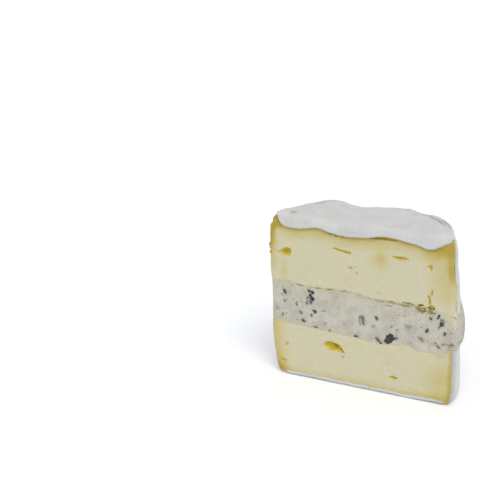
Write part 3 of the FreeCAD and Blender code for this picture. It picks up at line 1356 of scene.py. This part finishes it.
CHIPS: tuple[Chip, ...] = (
    Chip(18.2, 30.8, 4.3, 3.7, 8, 0.0, 0.45),
    Chip(19.0, 32.6, 2.2, 2.4, 20, 0.0, 0.35),
    Chip(16.4, 29.4, 2.3, 1.5, -10, 0.0, 0.4),
    Chip(11.3, 29.6, 2.6, 1.3, -30, 0.25, 0.2),
    Chip(13.2, 28.0, 1.3, 1.0, -20, 0.2, 0.2),
    Chip(22.2, 32.0, 1.1, 1.5, 30, 0.25, 0.0),
    Chip(-29.4, 50.8, 2.6, 1.1, -8, 0.1, 0.0),
    Chip(-27.6, 50.2, 1.3, 2.0, 16, 0.0, 0.0),
    Chip(-29.0, 48.2, 1.9, 1.8, 0, 0.0, 0.0),
    Chip(-28.0, 46.3, 2.6, 2.4, 30, 0.0, 0.0),
    Chip(-28.6, 44.6, 1.3, 1.6, 10, 0.1, 0.0),
    Chip(-30.6, 46.9, 1.4, 1.6, 60, 0.35, 0.0),
    Chip(-45.4, 48.6, 1.3, 2.6, 14, 0.05, 0.0),
    Chip(-44.7, 47.7, 1.0, 1.0, 0, 0.1, 0.0),
    Chip(-47.0, 46.7, 0.6, 1.2, 10, 0.4, 0.0),
    Chip(-45.7, 43.0, 1.2, 1.2, 0, 0.4, 0.1),
    Chip(-31.4, 43.6, 1.3, 1.7, 28, 0.25, 0.0),
    Chip(-37.8, 42.1, 0.9, 1.3, 20, 0.35, 0.0),
    Chip(-35.2, 37.8, 1.6, 1.5, 0, 0.4, 0.1),
    Chip(-26.3, 39.3, 2.4, 1.5, -36, 0.1, 0.0),
    Chip(-28.5, 36.9, 1.5, 1.2, 40, 0.15, 0.0),
    Chip(-33.5, 33.1, 2.0, 1.1, -30, 0.1, 0.1),
    Chip(-26.0, 30.6, 2.0, 0.9, -12, 0.3, 0.5),
    Chip(-47.0, 35.0, 0.8, 1.7, -12, 0.3, 0.1),
    Chip(-50.4, 38.2, 2.2, 2.2, 0, 0.85, 0.1),
    Chip(-17.3, 29.9, 1.1, 1.3, 0, 0.5, 0.1),
    Chip(-20.2, 33.4, 1.2, 1.6, 0, 0.72, 0.0),
    Chip(-20.6, 40.6, 1.5, 0.8, 30, 0.68, 0.0),
    Chip(2.2, 40.4, 2.6, 1.8, 0, 0.38, 0.0),
    Chip(3.2, 38.4, 1.2, 3.2, 6, 0.3, 0.0),
    Chip(1.3, 38.0, 2.0, 3.0, -6, 0.78, 0.0),
    Chip(-1.2, 29.4, 2.5, 1.0, -4, 0.15, 0.6),
    Chip(10.9, 41.0, 1.4, 2.2, 24, 0.05, 0.1),
    Chip(29.0, 38.8, 1.5, 1.4, 0, 0.45, 0.0),
    Chip(28.8, 38.7, 3.0, 2.8, 0, 0.86, 0.0),
    Chip(39.2, 38.8, 1.3, 2.6, -18, 0.1, 0.15),
    Chip(41.2, 45.4, 2.0, 1.0, -42, 0.1, 0.0),
    Chip(45.3, 47.0, 1.0, 2.3, -20, 0.05, 0.1),
    Chip(46.9, 43.2, 1.7, 2.2, 20, 0.05, 0.0),
    Chip(47.3, 45.2, 2.2, 1.8, -30, 0.5, 0.0),
    Chip(48.6, 38.6, 1.3, 1.6, 14, 0.1, 0.1),
    Chip(45.8, 41.8, 1.2, 1.0, 0, 0.4, 0.0),
    Chip(19.5, 38.0, 0.9, 0.9, 0, 0.5, 0.0),
    Chip(9.0, 36.4, 1.4, 1.1, 0, 0.6, 0.2),
    Chip(22.6, 36.6, 1.2, 0.8, 40, 0.5, 0.3),
    Chip(52.2, 33.2, 1.4, 1.8, 20, 0.45, 0.2),
    Chip(36.4, 33.4, 0.8, 1.9, 36, 0.35, 0.4),
    Chip(45.2, 31.0, 1.8, 0.9, -38, 0.4, 0.5),
)


@dataclass
class CutBits:
    """Small solid bits that lie in a layer's surface, joined to one mesh.

    Attributes:
        layer: The layer in which they lie.
        seed: Number that starts the random draws.
    """

    layer: LayerSolid
    seed: int

    def lump(
        self, bm: BMesh, middle: Vector, wide: float, deep: float, tall: float,
        tilt: float, rounds: int, jag: float,
    ) -> list[BMVert]:
        """Add one angular lump and return its points.

        Args:
            bm: The mesh that it joins.
            middle: Its place.
            wide: Its width.
            deep: Its depth.
            tall: Its height.
            tilt: Turn in degrees.
            rounds: Subdivisions of the ball that it starts from.
            jag: How uneven it is, as a share of its size.

        Returns:
            The new points.
        """
        made = bmesh.ops.create_icosphere(bm, subdivisions=rounds, radius=0.5)["verts"]
        turn = math.radians(tilt)
        for vert in made:
            ball = vert.co.copy()
            spread = 1 + jag * rough(ball * 10 + middle * 3, 5.0, self.seed)
            local = Vector((ball.x * wide, ball.y * deep, ball.z * tall)) * spread
            x = local.x * math.cos(turn) - local.z * math.sin(turn)
            z = local.x * math.sin(turn) + local.z * math.cos(turn)
            vert.co = middle + Vector((x, local.y, z))
        return made

    def seat(self, place: Vector) -> float:
        """Depth of the layer's cut at a point."""
        return self.layer.relief(place)[0]

    def mark(self, points: list[BMVert], values: dict[Any, float]) -> None:
        """Give the same values to all points of a lump, by layer.

        Args:
            points: The points.
            values: The value for each layer.
        """
        for vert in points:
            for layer, value in values.items():
                vert[layer] = value


@dataclass
class TruffleChips(CutBits):
    """The truffle pieces large enough to have a place of their own.

    Attributes:
        growth: How much larger than its core a piece is with its ragged rim.
        rim_veil: How much more cream veils a piece at its rim.
    """

    growth: float = 1.25
    rim_veil: float = 0.7

    def build(self, material: Material) -> Object:
        """Model the chips, cut flush with the cream.

        Args:
            material: Its finish.

        Returns:
            The piece.
        """
        bm = bmesh.new()
        smear = bm.verts.layers.float.new("smear")
        brown = bm.verts.layers.float.new("brown")
        for chip in CHIPS:
            place = Vector((chip.across, 0, chip.up))
            face = self.seat(place)
            wide = chip.wide * self.growth
            tall = chip.tall * self.growth
            deep = 0.8 * min(wide, tall)
            middle = Vector((chip.across, face + 0.15 * deep, chip.up))
            made = self.lump(bm, middle, wide, deep, tall, chip.tilt, rounds=3, jag=0.75)
            for vert in made:
                spot = Vector((vert.co.x, 0, vert.co.z))
                front = self.seat(spot) - 0.10 + 0.10 * rough(spot, 0.9, self.seed)
                rim = ease(0.0, 0.5, vert.co.y - front)
                vert.co.y = max(vert.co.y, front)
                vert[smear] = limit(chip.smear + self.rim_veil * rim)
                vert[brown] = chip.brown
        return place_piece("truffle_chips", bm, self.layer.half, material)


@dataclass
class TruffleSpecks(CutBits):
    """The fine black grains in the cream, on the cut and round the side.

    Attributes:
        in_cut: How many lie in the cut.
        in_side: How many lie in the round side.
        on_bulge: How many of those lie on the bulge beside the cut.
    """

    in_cut: int = 330
    in_side: int = 480
    on_bulge: int = 70

    def build(self, material: Material) -> Object:
        """Scatter the specks, thick at both ends of the cut and thin in the middle.

        Args:
            material: Its finish.

        Returns:
            The piece.
        """
        draw = random.Random(self.seed)
        bm = bmesh.new()
        smear = bm.verts.layers.float.new("smear")
        brown = bm.verts.layers.float.new("brown")
        placed = 0
        while placed < self.in_cut:
            share_u = draw.random()
            share_v = draw.uniform(0.05, 0.95)
            chance = draw.random()
            size = 0.28 + 0.55 * draw.random() ** 3
            stretch = draw.uniform(0.7, 1.7)
            tilt = draw.uniform(0, 180)
            veil = draw.uniform(0.15, 0.85)
            tone = draw.random() ** 2
            place = self.layer.cut_point(share_u, share_v)
            crowd = 0.22 + 0.6 * ease(4, 22, abs(place.x - 4))
            crowd += 0.5 * ease(0.1, 0.5, rough(place, 9, self.seed))
            if chance > crowd:
                continue
            placed += 1
            place.y = self.seat(Vector((place.x, 0, place.z))) + 0.05 * size
            made = self.lump(bm, place, size * stretch, size * 0.7, size, tilt, rounds=1, jag=0.6)
            self.mark(made, {smear: veil, brown: 0.6 * tone})
        for number in range(self.in_side):
            on_bulge = number < self.on_bulge
            angle = draw.uniform(0.04, 0.32) if on_bulge else draw.uniform(0.06, math.pi - 0.03)
            share = draw.uniform(0.12, 0.7) if on_bulge else draw.uniform(0.06, 0.94)
            size = 0.35 + 0.9 * draw.random() ** 3
            stretch = draw.uniform(0.7, 1.6)
            veil = draw.uniform(0.35, 0.9)
            self.side_speck(bm, angle, share, size, stretch, veil, smear)
        return place_piece("truffle_specks", bm, self.layer.half, material)

    def side_speck(
        self, bm: BMesh, angle: float, share: float, size: float,
        stretch: float, veil: float, smear: Any,
    ) -> None:
        """Sink one speck in the round side of the cream.

        Args:
            bm: The mesh that it joins.
            angle: Direction from the axis.
            share: Share of the way up the layer.
            size: Its size.
            stretch: Its width for a height of 1.
            veil: How far cream veils it.
            smear: Layer that keeps the veil.
        """
        layer = self.layer
        x = SIDE * math.cos(angle)
        y = SIDE * math.sin(angle)
        height = blend(layer.floor(x, y), layer.roof(x, y), share)
        out = layer.radius(height, angle, DEPTH * math.sin(angle)) - 0.12 * size
        middle = Vector((out * math.cos(angle), out * math.sin(angle), height))
        made = self.lump(bm, middle, size * stretch, size * stretch, size, tilt=0, rounds=1, jag=0.6)
        flat = Vector((math.cos(angle), math.sin(angle), 0))
        for vert in made:
            proud = (vert.co - middle).dot(flat)
            vert.co -= flat * max(0.0, proud - 0.18 * size)
            vert[smear] = veil


@dataclass
class PasteCrumbs(CutBits):
    """Crumbs that the knife left along the seam, the rind and the flap.

    Attributes:
        along_seam: How many lie on the seam.
        along_edge: How many lie at the right edge.
        along_left: How many stick out at the left edge.
        along_flap: How many hang at the lip of the rind.
    """

    along_seam: int = 150
    along_edge: int = 46
    along_left: int = 15
    along_flap: int = 9

    def build(self, material: Material) -> Object:
        """Scatter the crumbs, mostly where the seam is torn.

        Args:
            material: Its finish.

        Returns:
            The piece.
        """
        draw = random.Random(self.seed)
        bm = bmesh.new()
        ripe = bm.verts.layers.float.new(Tint.RIPE.value)
        half = self.layer.half
        # A crumb draws its own width and tilt, so a tone that is drawn comes after it.
        for _ in range(self.along_seam):
            x = draw.triangular(-44, 51, 34)
            z = half.upper_seam.at(x) + draw.gauss(0.1, 0.55)
            made = self.crumb(bm, draw, Vector((x, 0, z)), draw.uniform(0.35, 1.0))
            self.mark(made, {ripe: draw.choice((0.0, 0.1, 0.25, 0.45))})
        for _ in range(self.along_edge):
            z = draw.uniform(4, 80)
            x = half.right.at(z) + draw.uniform(-0.9, 0.1)
            size = draw.uniform(0.35, 0.85)
            if not 30 < z < 50:
                self.mark(self.crumb(bm, draw, Vector((x, 0, z)), size), {ripe: 0.5})
        for _ in range(self.along_left):
            z = draw.uniform(66, 81)
            made = self.crumb(bm, draw, Vector((half.left.at(z) + 0.5, 0.3, z)), draw.uniform(1.0, 1.7))
            self.mark(made, {ripe: 1.0})
        for _ in range(self.along_flap):
            x = draw.uniform(-18, -8)
            z = half.lip.at(x) + draw.uniform(-0.9, 0.1)
            made = self.crumb(bm, draw, Vector((x, -0.5, z)), draw.uniform(0.7, 1.4))
            self.mark(made, {ripe: 0.75})
        return place_piece("paste_crumbs", bm, self.layer.half, material)

    def crumb(self, bm: BMesh, draw: random.Random, place: Vector, size: float) -> list[BMVert]:
        """Press one crumb into the cut.

        Args:
            bm: The mesh that it joins.
            draw: Source of its width and tilt.
            place: Where it lies.
            size: Its size.

        Returns:
            Its points.
        """
        wide = size * draw.uniform(0.8, 1.8)
        tilt = draw.uniform(-30, 30)
        middle = Vector((place.x, place.y + 0.16, place.z))
        return self.lump(bm, middle, wide, size * 0.9, size * 0.7, tilt, rounds=2, jag=0.8)


# ---------------------------------------------------------------- finishes


def linear(code: str) -> tuple[float, float, float, float]:
    """Turn an sRGB hex colour, such as "#d9d5c0", into linear RGBA.

    Args:
        code: The hex colour.

    Returns:
        Red, green, blue and alpha, from 0 to 1.
    """
    parts = [int(code[place:place + 2], 16) / 255 for place in (1, 3, 5)]
    values = [part / 12.92 if part <= 0.04045 else ((part + 0.055) / 1.055) ** 2.4 for part in parts]
    return (values[0], values[1], values[2], 1.0)


def add_node(
    tree: NodeTree, kind: str, inputs: dict[Any, Any] | None = None, **settings: Any
) -> Node:
    """Add a node with its settings, and link or set its inputs.

    Args:
        tree: The material's node tree.
        kind: Blender's name of the node.
        inputs: Sockets by name or number, each with an output socket or a plain value.
        **settings: Properties of the node.

    Returns:
        The new node.
    """
    made = tree.nodes.new(kind)
    for name, value in settings.items():
        setattr(made, name, value)
    for name, value in (inputs or {}).items():
        if isinstance(value, NodeSocket):
            tree.links.new(value, made.inputs[name])
        else:
            made.inputs[name].default_value = value
    return made


def ramp_stops(ramp: Node, stops: Iterable[tuple[float, str]]) -> None:
    """Give a colour ramp its stops, each a place and an sRGB hex colour.

    Args:
        ramp: The ramp node.
        stops: Place and colour of each stop.
    """
    band = ramp.color_ramp.elements
    for number, (place, code) in enumerate(stops):
        stop = band[number] if number < 2 else band.new(place)
        stop.position = place
        stop.color = linear(code)


@dataclass(frozen=True)
class Finish:
    """A material of the half.

    Attributes:
        name: Name of the material.
        roughness: Roughness of its surface.
        ior: Index of refraction.
    """

    name: str
    roughness: float
    ior: float

    def start(self) -> tuple[Material, NodeTree, Node, Any]:
        """Make the material and set its roughness and refraction.

        Returns:
            The material, its node tree, its shader and its object coordinates.
        """
        material = bpy.data.materials.new(self.name)
        material.use_nodes = True
        tree = material.node_tree
        shader = tree.nodes["Principled BSDF"]
        shader.inputs["Roughness"].default_value = self.roughness
        shader.inputs["IOR"].default_value = self.ior
        place = add_node(tree, "ShaderNodeTexCoord").outputs["Object"]
        return material, tree, shader, place

    def grain(self, tree: NodeTree, place: Any, size: float, detail: float = 2.0) -> Any:
        """Cloudy pattern whose lumps have a size in millimetres, as a factor socket."""
        settings = {"Vector": place, "Scale": 1 / (size * MM), "Detail": detail}
        return add_node(tree, "ShaderNodeTexNoise", settings).outputs[0]

    def roughen(
        self, tree: NodeTree, shader: Node, place: Any,
        grains: Iterable[tuple[float, float, float]],
    ) -> None:
        """Give the surface a fine relief.

        Args:
            tree: The material's node tree.
            shader: Its shader.
            place: Coordinates of the pattern.
            grains: Size in millimetres, detail and depth in millimetres of each grain, broadest first.
        """
        normal = None
        for size, detail, depth in grains:
            bump = {"Height": self.grain(tree, place, size, detail), "Distance": depth * MM, "Strength": 1.0}
            if normal is not None:
                bump["Normal"] = normal
            normal = add_node(tree, "ShaderNodeBump", bump).outputs["Normal"]
        tree.links.new(normal, shader.inputs["Normal"])

    def paint(self, tree: NodeTree, tone: Any, coats: Iterable[tuple[Any, str]]) -> NodeSocket:
        """Lay colours over a tone, one after another.

        Args:
            tree: The material's node tree.
            tone: Colour at the bottom, a socket or a plain value.
            coats: How far each colour covers, as a socket or a point attribute's name, and its hex code.

        Returns:
            The colour on top.
        """
        for share, code in coats:
            if isinstance(share, str):
                share = add_node(tree, "ShaderNodeAttribute", attribute_name=share).outputs["Fac"]
            mixed = {"Factor": share, 6: tone, 7: linear(code)}
            tone = add_node(tree, "ShaderNodeMix", mixed, data_type="RGBA").outputs[2]
        return tone

    def moisten(self, shader: Node, share: float, reach: float) -> None:
        """Let light into the body, reddest deepest.

        Args:
            shader: The material's shader.
            share: How much of the light enters.
            reach: How deep it goes, in millimetres.
        """
        shader.inputs["Subsurface Weight"].default_value = share
        shader.inputs["Subsurface Radius"].default_value = (1.0, 0.82, 0.45)
        shader.inputs["Subsurface Scale"].default_value = reach * MM


@dataclass(frozen=True)
class RipePaste(Finish):
    """Ripened cow's-milk paste, knife cut: satin, slightly moist, milky and translucent."""

    young: str = "#c5c0a3"
    straw: str = "#bfb480"
    gold: str = "#b2a04d"
    amber: str = "#a68d28"
    hollow: str = "#c8b324"
    seam: str = "#9f9768"

    def material(self) -> Material:
        """Ivory to amber with ripeness, golden in its eyes, olive in the seam.

        Returns:
            The material.
        """
        material, tree, shader, place = self.start()
        ripe = add_node(tree, "ShaderNodeAttribute", attribute_name=Tint.RIPE.value).outputs["Fac"]
        # Ripening works in from the rind in clouds a few millimetres wide.
        clouds = self.grain(tree, place, 7.0)
        wander = add_node(tree, "ShaderNodeMath", {0: clouds, 1: 0.5}, operation="SUBTRACT").outputs[0]
        level = add_node(
            tree, "ShaderNodeMath", {0: wander, 1: 0.22, 2: ripe}, operation="MULTIPLY_ADD"
        ).outputs[0]
        ramp = add_node(tree, "ShaderNodeValToRGB", {"Fac": level})
        ramp_stops(ramp, ((0.0, self.young), (1.0, self.amber), (0.35, self.straw), (0.68, self.gold)))
        torn = self.paint(tree, ramp.outputs["Color"], (
            (Tint.HOLLOW.value, self.hollow), (Tint.SEAM.value, self.seam),
        ))
        # Curd grains of about a millimetre, a little paler or darker than their neighbours.
        curd = self.grain(tree, place, 1.4, 3.0)
        shade = add_node(tree, "ShaderNodeMapRange", {"Value": curd, "To Min": 0.955, "To Max": 1.04})
        tone = add_node(tree, "ShaderNodeMix", {
            "Factor": 1.0, 6: torn, 7: shade.outputs[0],
        }, data_type="RGBA", blend_type="MULTIPLY").outputs[2]
        tree.links.new(tone, shader.inputs["Base Color"])
        self.roughen(tree, shader, place, ((3.0, 2.0, 0.35), (0.7, 3.0, 0.10)))
        damp = add_node(tree, "ShaderNodeMapRange", {
            "Value": self.grain(tree, place, 3.0),
            "To Min": self.roughness - 0.10, "To Max": self.roughness + 0.12,
        })
        tree.links.new(damp.outputs[0], shader.inputs["Roughness"])
        self.moisten(shader, 0.30, 1.5)
        return material


@dataclass(frozen=True)
class TruffleCream(Finish):
    """Fresh cream cheese stirred with truffle: matt, greyish, peppered, dry at its side."""

    pale: str = "#bebbaf"
    dull: str = "#b0ab9d"
    seam: str = "#a19a76"
    skin: str = "#b4b1a3"
    pepper: str = "#5d5848"
    olive: str = "#8f8448"
    thin: str = "#c2ba92"
    stain: str = "#84817d"

    def material(self) -> Material:
        """Two greys in clouds, fine pepper, and a whiter skin on the side.

        Returns:
            The material.
        """
        material, tree, shader, place = self.start()
        skin = add_node(tree, "ShaderNodeAttribute", attribute_name=Tint.SKIN.value).outputs["Fac"]
        clouds = add_node(tree, "ShaderNodeValToRGB", {"Fac": self.grain(tree, place, 5.0, 4.0)})
        ramp_stops(clouds, ((0.36, self.dull), (0.62, self.pale)))
        # Truffle dust: dots of about a quarter of a millimetre, drawn a little coarser to show.
        dust = self.grain(tree, place, 0.55, 1.0)
        dots = add_node(tree, "ShaderNodeMapRange", {
            "Value": dust, "From Min": 0.70, "From Max": 0.80, "To Min": 0.0, "To Max": 0.55,
        })
        veil = add_node(tree, "ShaderNodeMath", {0: skin, 1: 0.75}, operation="MULTIPLY").outputs[0]
        # Ripe paste shows through where the cream is smeared thin.
        tone = self.paint(tree, clouds.outputs["Color"], (
            (dots.outputs[0], self.pepper), (Tint.SEAM.value, self.seam), (Tint.HOLLOW.value, self.olive),
            (Tint.STAIN.value, self.stain), (Tint.RIPE.value, self.thin), (veil, self.skin),
        ))
        tree.links.new(tone, shader.inputs["Base Color"])
        self.roughen(tree, shader, place, ((2.4, 3.0, 0.45), (0.6, 3.0, 0.14)))
        self.moisten(shader, 0.25, 1.6)
        return material


@dataclass(frozen=True)
class BloomyRind(Finish):
    """White mould on cheese: a dry, matt felt with a soft sheen, grey where it is rubbed."""

    bloom: str = "#c4c4c3"
    shade: str = "#bdbdbb"
    stain: str = "#8f8c78"
    # Bluish lip colour: a painted cool highlight along the flap's hanging edge.
    lip: str = "#bec5ca"

    def material(self) -> Material:
        """Felt in two whites, olive-grey stains and a bluish lip that is a painted cool highlight on the
        flap's hanging edge.

        Returns:
            The material.
        """
        material, tree, shader, place = self.start()
        patches = add_node(tree, "ShaderNodeValToRGB", {"Fac": self.grain(tree, place, 8.0, 4.0)})
        ramp_stops(patches, ((0.35, self.shade), (0.62, self.bloom)))
        tone = self.paint(tree, patches.outputs["Color"], (
            (Tint.SKIN.value, self.lip), (Tint.STAIN.value, self.stain),
        ))
        tree.links.new(tone, shader.inputs["Base Color"])
        # Mould threads are far under a tenth of a millimetre, so the felt is drawn coarser to show.
        self.roughen(tree, shader, place, ((2.6, 3.0, 0.40), (0.45, 4.0, 0.10)))
        shader.inputs["Sheen Weight"].default_value = 0.25
        shader.inputs["Sheen Roughness"].default_value = 0.6
        shader.inputs["Specular IOR Level"].default_value = 0.25
        self.moisten(shader, 0.15, 1.0)
        return material


@dataclass(frozen=True)
class BlackTruffle(Finish):
    """Black winter truffle, chopped: dark brown-black flesh, matt, veiled where cream covers it."""

    flesh: str = "#241e1e"
    brown: str = "#40312c"
    veil: str = "#a3a29f"

    def material(self) -> Material:
        """Black to brown flesh, mixed with cream by how far it is veiled.

        Returns:
            The material.
        """
        material, tree, shader, place = self.start()
        smear = add_node(tree, "ShaderNodeAttribute", attribute_name="smear").outputs["Fac"]
        flesh = self.paint(tree, linear(self.flesh), (("brown", self.brown),))
        # Pale veins of the flesh, about half a millimetre apart.
        veins = add_node(tree, "ShaderNodeMapRange", {
            "Value": self.grain(tree, place, 0.9, 3.0), "From Min": 0.45, "From Max": 0.75,
            "To Min": 0.0, "To Max": 0.12,
        })
        share = add_node(tree, "ShaderNodeMath", {
            0: smear, 1: veins.outputs[0],
        }, operation="ADD", use_clamp=True).outputs[0]
        tone = self.paint(tree, flesh, ((share, self.veil),))
        tree.links.new(tone, shader.inputs["Base Color"])
        self.roughen(tree, shader, place, ((0.4, 3.0, 0.12),))
        return material


@dataclass(frozen=True)
class StudioPaper(Finish):
    """Seamless white background paper: plain and matt."""

    white: str = "#fcfdff"

    def material(self) -> Material:
        """One white with the faintest tooth.

        Returns:
            The material.
        """
        material, tree, shader, place = self.start()
        shader.inputs["Base Color"].default_value = linear(self.white)
        shader.inputs["Specular IOR Level"].default_value = 0.1
        self.roughen(tree, shader, place, ((1.0, 2.0, 0.02),))
        return material


# ---------------------------------------------------------------- studio


@dataclass
class Studio:
    """Floor, light and camera round the half.

    Attributes:
        half: Outlines of the half.
        azimuth: Direction of the camera round the half, in degrees from straight in front.
        elevation: Height of the camera above the horizon, in degrees.
        distance: Distance from the middle of the cut to the camera.
        pan: Turn of the camera to the left of the half, in degrees.
        tilt: Turn of the camera above the half, in degrees.
        lens: Focal length for a sensor of the given width.
        sensor: Width of the sensor.
        floor_size: Radius of the floor.
        sky: Strength of the white surroundings.
        key: Strength of the broad light.
        key_azimuth: Direction of the broad light, in degrees from straight in front.
        key_elevation: Height of the broad light above the horizon, in degrees.
        key_spread: Width of the broad light as seen from the half, in degrees.
        backdrop: Strength of the surroundings as the camera sees them.
        near: Nearest distance that the camera sees, in metres.
        far: Furthest distance that the camera sees, in metres.
    """

    half: Half
    azimuth: float = 27.13
    elevation: float = 17.52
    distance: float = 502.5
    pan: float = 7.156
    tilt: float = 4.127
    lens: float = 70.28
    sensor: float = 36.0
    floor_size: float = 30000.0
    sky: float = 0.65
    key: float = 1.74
    key_azimuth: float = 40.0
    key_elevation: float = 47.0
    key_spread: float = 36.0
    backdrop: float = 1.1
    near: float = 0.01
    far: float = 50.0

    def lay_floor(self) -> Object:
        """Lay a wide plain floor under the half.

        Returns:
            The floor.
        """
        bm = bmesh.new()
        bmesh.ops.create_circle(bm, cap_ends=True, segments=96, radius=self.floor_size * MM)
        paper = StudioPaper("matt white studio paper", roughness=0.9, ior=1.45).material()
        floor = smooth_object("studio_floor", bm, paper)
        return floor

    def light(self) -> None:
        """Surround the half with white and add one broad soft light from the front right."""
        world = bpy.data.worlds.new("white surroundings")
        world.use_nodes = True
        tree = world.node_tree
        shell = tree.nodes["Background"]
        shell.inputs["Color"].default_value = linear("#ffffff")
        seen = add_node(tree, "ShaderNodeLightPath").outputs["Is Camera Ray"]
        # The backdrop itself is lit to full white, which the half does not feel.
        strength = add_node(
            tree, "ShaderNodeMath", {0: seen, 1: self.backdrop - self.sky, 2: self.sky},
            operation="MULTIPLY_ADD",
        )
        tree.links.new(strength.outputs[0], shell.inputs["Strength"])
        bpy.context.scene.world = world
        lamp = bpy.data.lights.new("broad soft light", "SUN")
        lamp.angle = math.radians(self.key_spread)
        lamp.energy = self.key
        holder = bpy.data.objects.new("broad soft light", lamp)
        aim = self.direction(self.key_azimuth, self.key_elevation)
        holder.rotation_euler = aim.to_track_quat("Z", "Y").to_euler()
        bpy.context.scene.collection.objects.link(holder)
        bpy.context.scene.view_settings.view_transform = "Standard"

    def direction(self, azimuth: float, elevation: float) -> Vector:
        """Unit vector from the half towards a direction given in degrees.

        Args:
            azimuth: Degrees round from straight in front.
            elevation: Degrees above the horizon.

        Returns:
            The vector.
        """
        turn = math.radians(azimuth)
        rise = math.radians(elevation)
        return Vector((
            math.sin(turn) * math.cos(rise), -math.cos(turn) * math.cos(rise), math.sin(rise)
        ))

    def target(self) -> Vector:
        """Middle of the cut face."""
        return self.half.in_frame(Vector((0, 0, self.half.top / 2)))

    def place_camera(self) -> Object:
        """Set up the camera so that the half stands low at the right of the view.

        Returns:
            The camera.
        """
        back = self.direction(self.azimuth, self.elevation)
        ahead = -back
        right = ahead.cross(Vector((0, 0, 1))).normalized()
        above = right.cross(ahead)
        pan = math.radians(self.pan)
        tilt = math.radians(self.tilt)
        turned = ahead * math.cos(pan) - right * math.sin(pan)
        aim = turned * math.cos(tilt) + above * math.sin(tilt)
        side = right * math.cos(pan) + ahead * math.sin(pan)
        data = bpy.data.cameras.new("camera")
        data.lens = self.lens
        data.sensor_width = self.sensor
        data.clip_start = self.near
        data.clip_end = self.far
        camera = bpy.data.objects.new("camera", data)
        camera.rotation_euler = Matrix((side, side.cross(aim), -aim)).transposed().to_euler()
        camera.location = self.target() + back * self.distance * MM
        bpy.context.scene.collection.objects.link(camera)
        bpy.context.scene.camera = camera
        return camera


def main() -> None:
    """Build the half, its studio and the camera."""
    logging.basicConfig(level=logging.INFO, format="%(name)s: %(message)s")
    half = Half.from_frame()
    studio = Studio(half)
    studio.place_camera()
    studio.lay_floor()
    studio.light()

    paste = RipePaste("ripened cheese paste", roughness=0.50, ior=1.45).material()
    cream = TruffleCream("truffle cream cheese", roughness=0.62, ior=1.45).material()
    bloom = BloomyRind("bloomy rind", roughness=0.88, ior=1.40).material()
    truffle = BlackTruffle("black truffle", roughness=0.62, ior=1.45).material()

    upper = UpperPaste(half, Layer.UPPER, "upper_paste", SPACING, turns=22, eyes=UPPER_EYES, seed=UPPER_SEED)
    lower = LowerPaste(half, Layer.LOWER, "lower_paste", SPACING, turns=22, eyes=LOWER_EYES, seed=5.0)
    filling = CreamLayer(half, Layer.CREAM, "truffle_cream", SPACING, turns=64, pits=CREAM_PITS, seed=8.0)
    slots = {
        upper.build(paste): "upper_paste",
        lower.build(paste): "lower_paste",
        filling.build(cream): "truffle_cream",
        UpperRind(half, "upper_rind", flat=47.2, thick=1.6, seed=3.0).build(bloom): "upper_paste",
        LowerRind(half, "lower_rind", flat=46.6, thick=1.6, seed=6.0).build(bloom): "lower_paste",
        TruffleChips(filling, seed=11).build(truffle): "truffle_cream",
        TruffleSpecks(filling, seed=12).build(truffle): "truffle_cream",
        PasteCrumbs(upper, seed=13).build(paste): "upper_paste",
    }


if __name__ == "__main__":
    main()
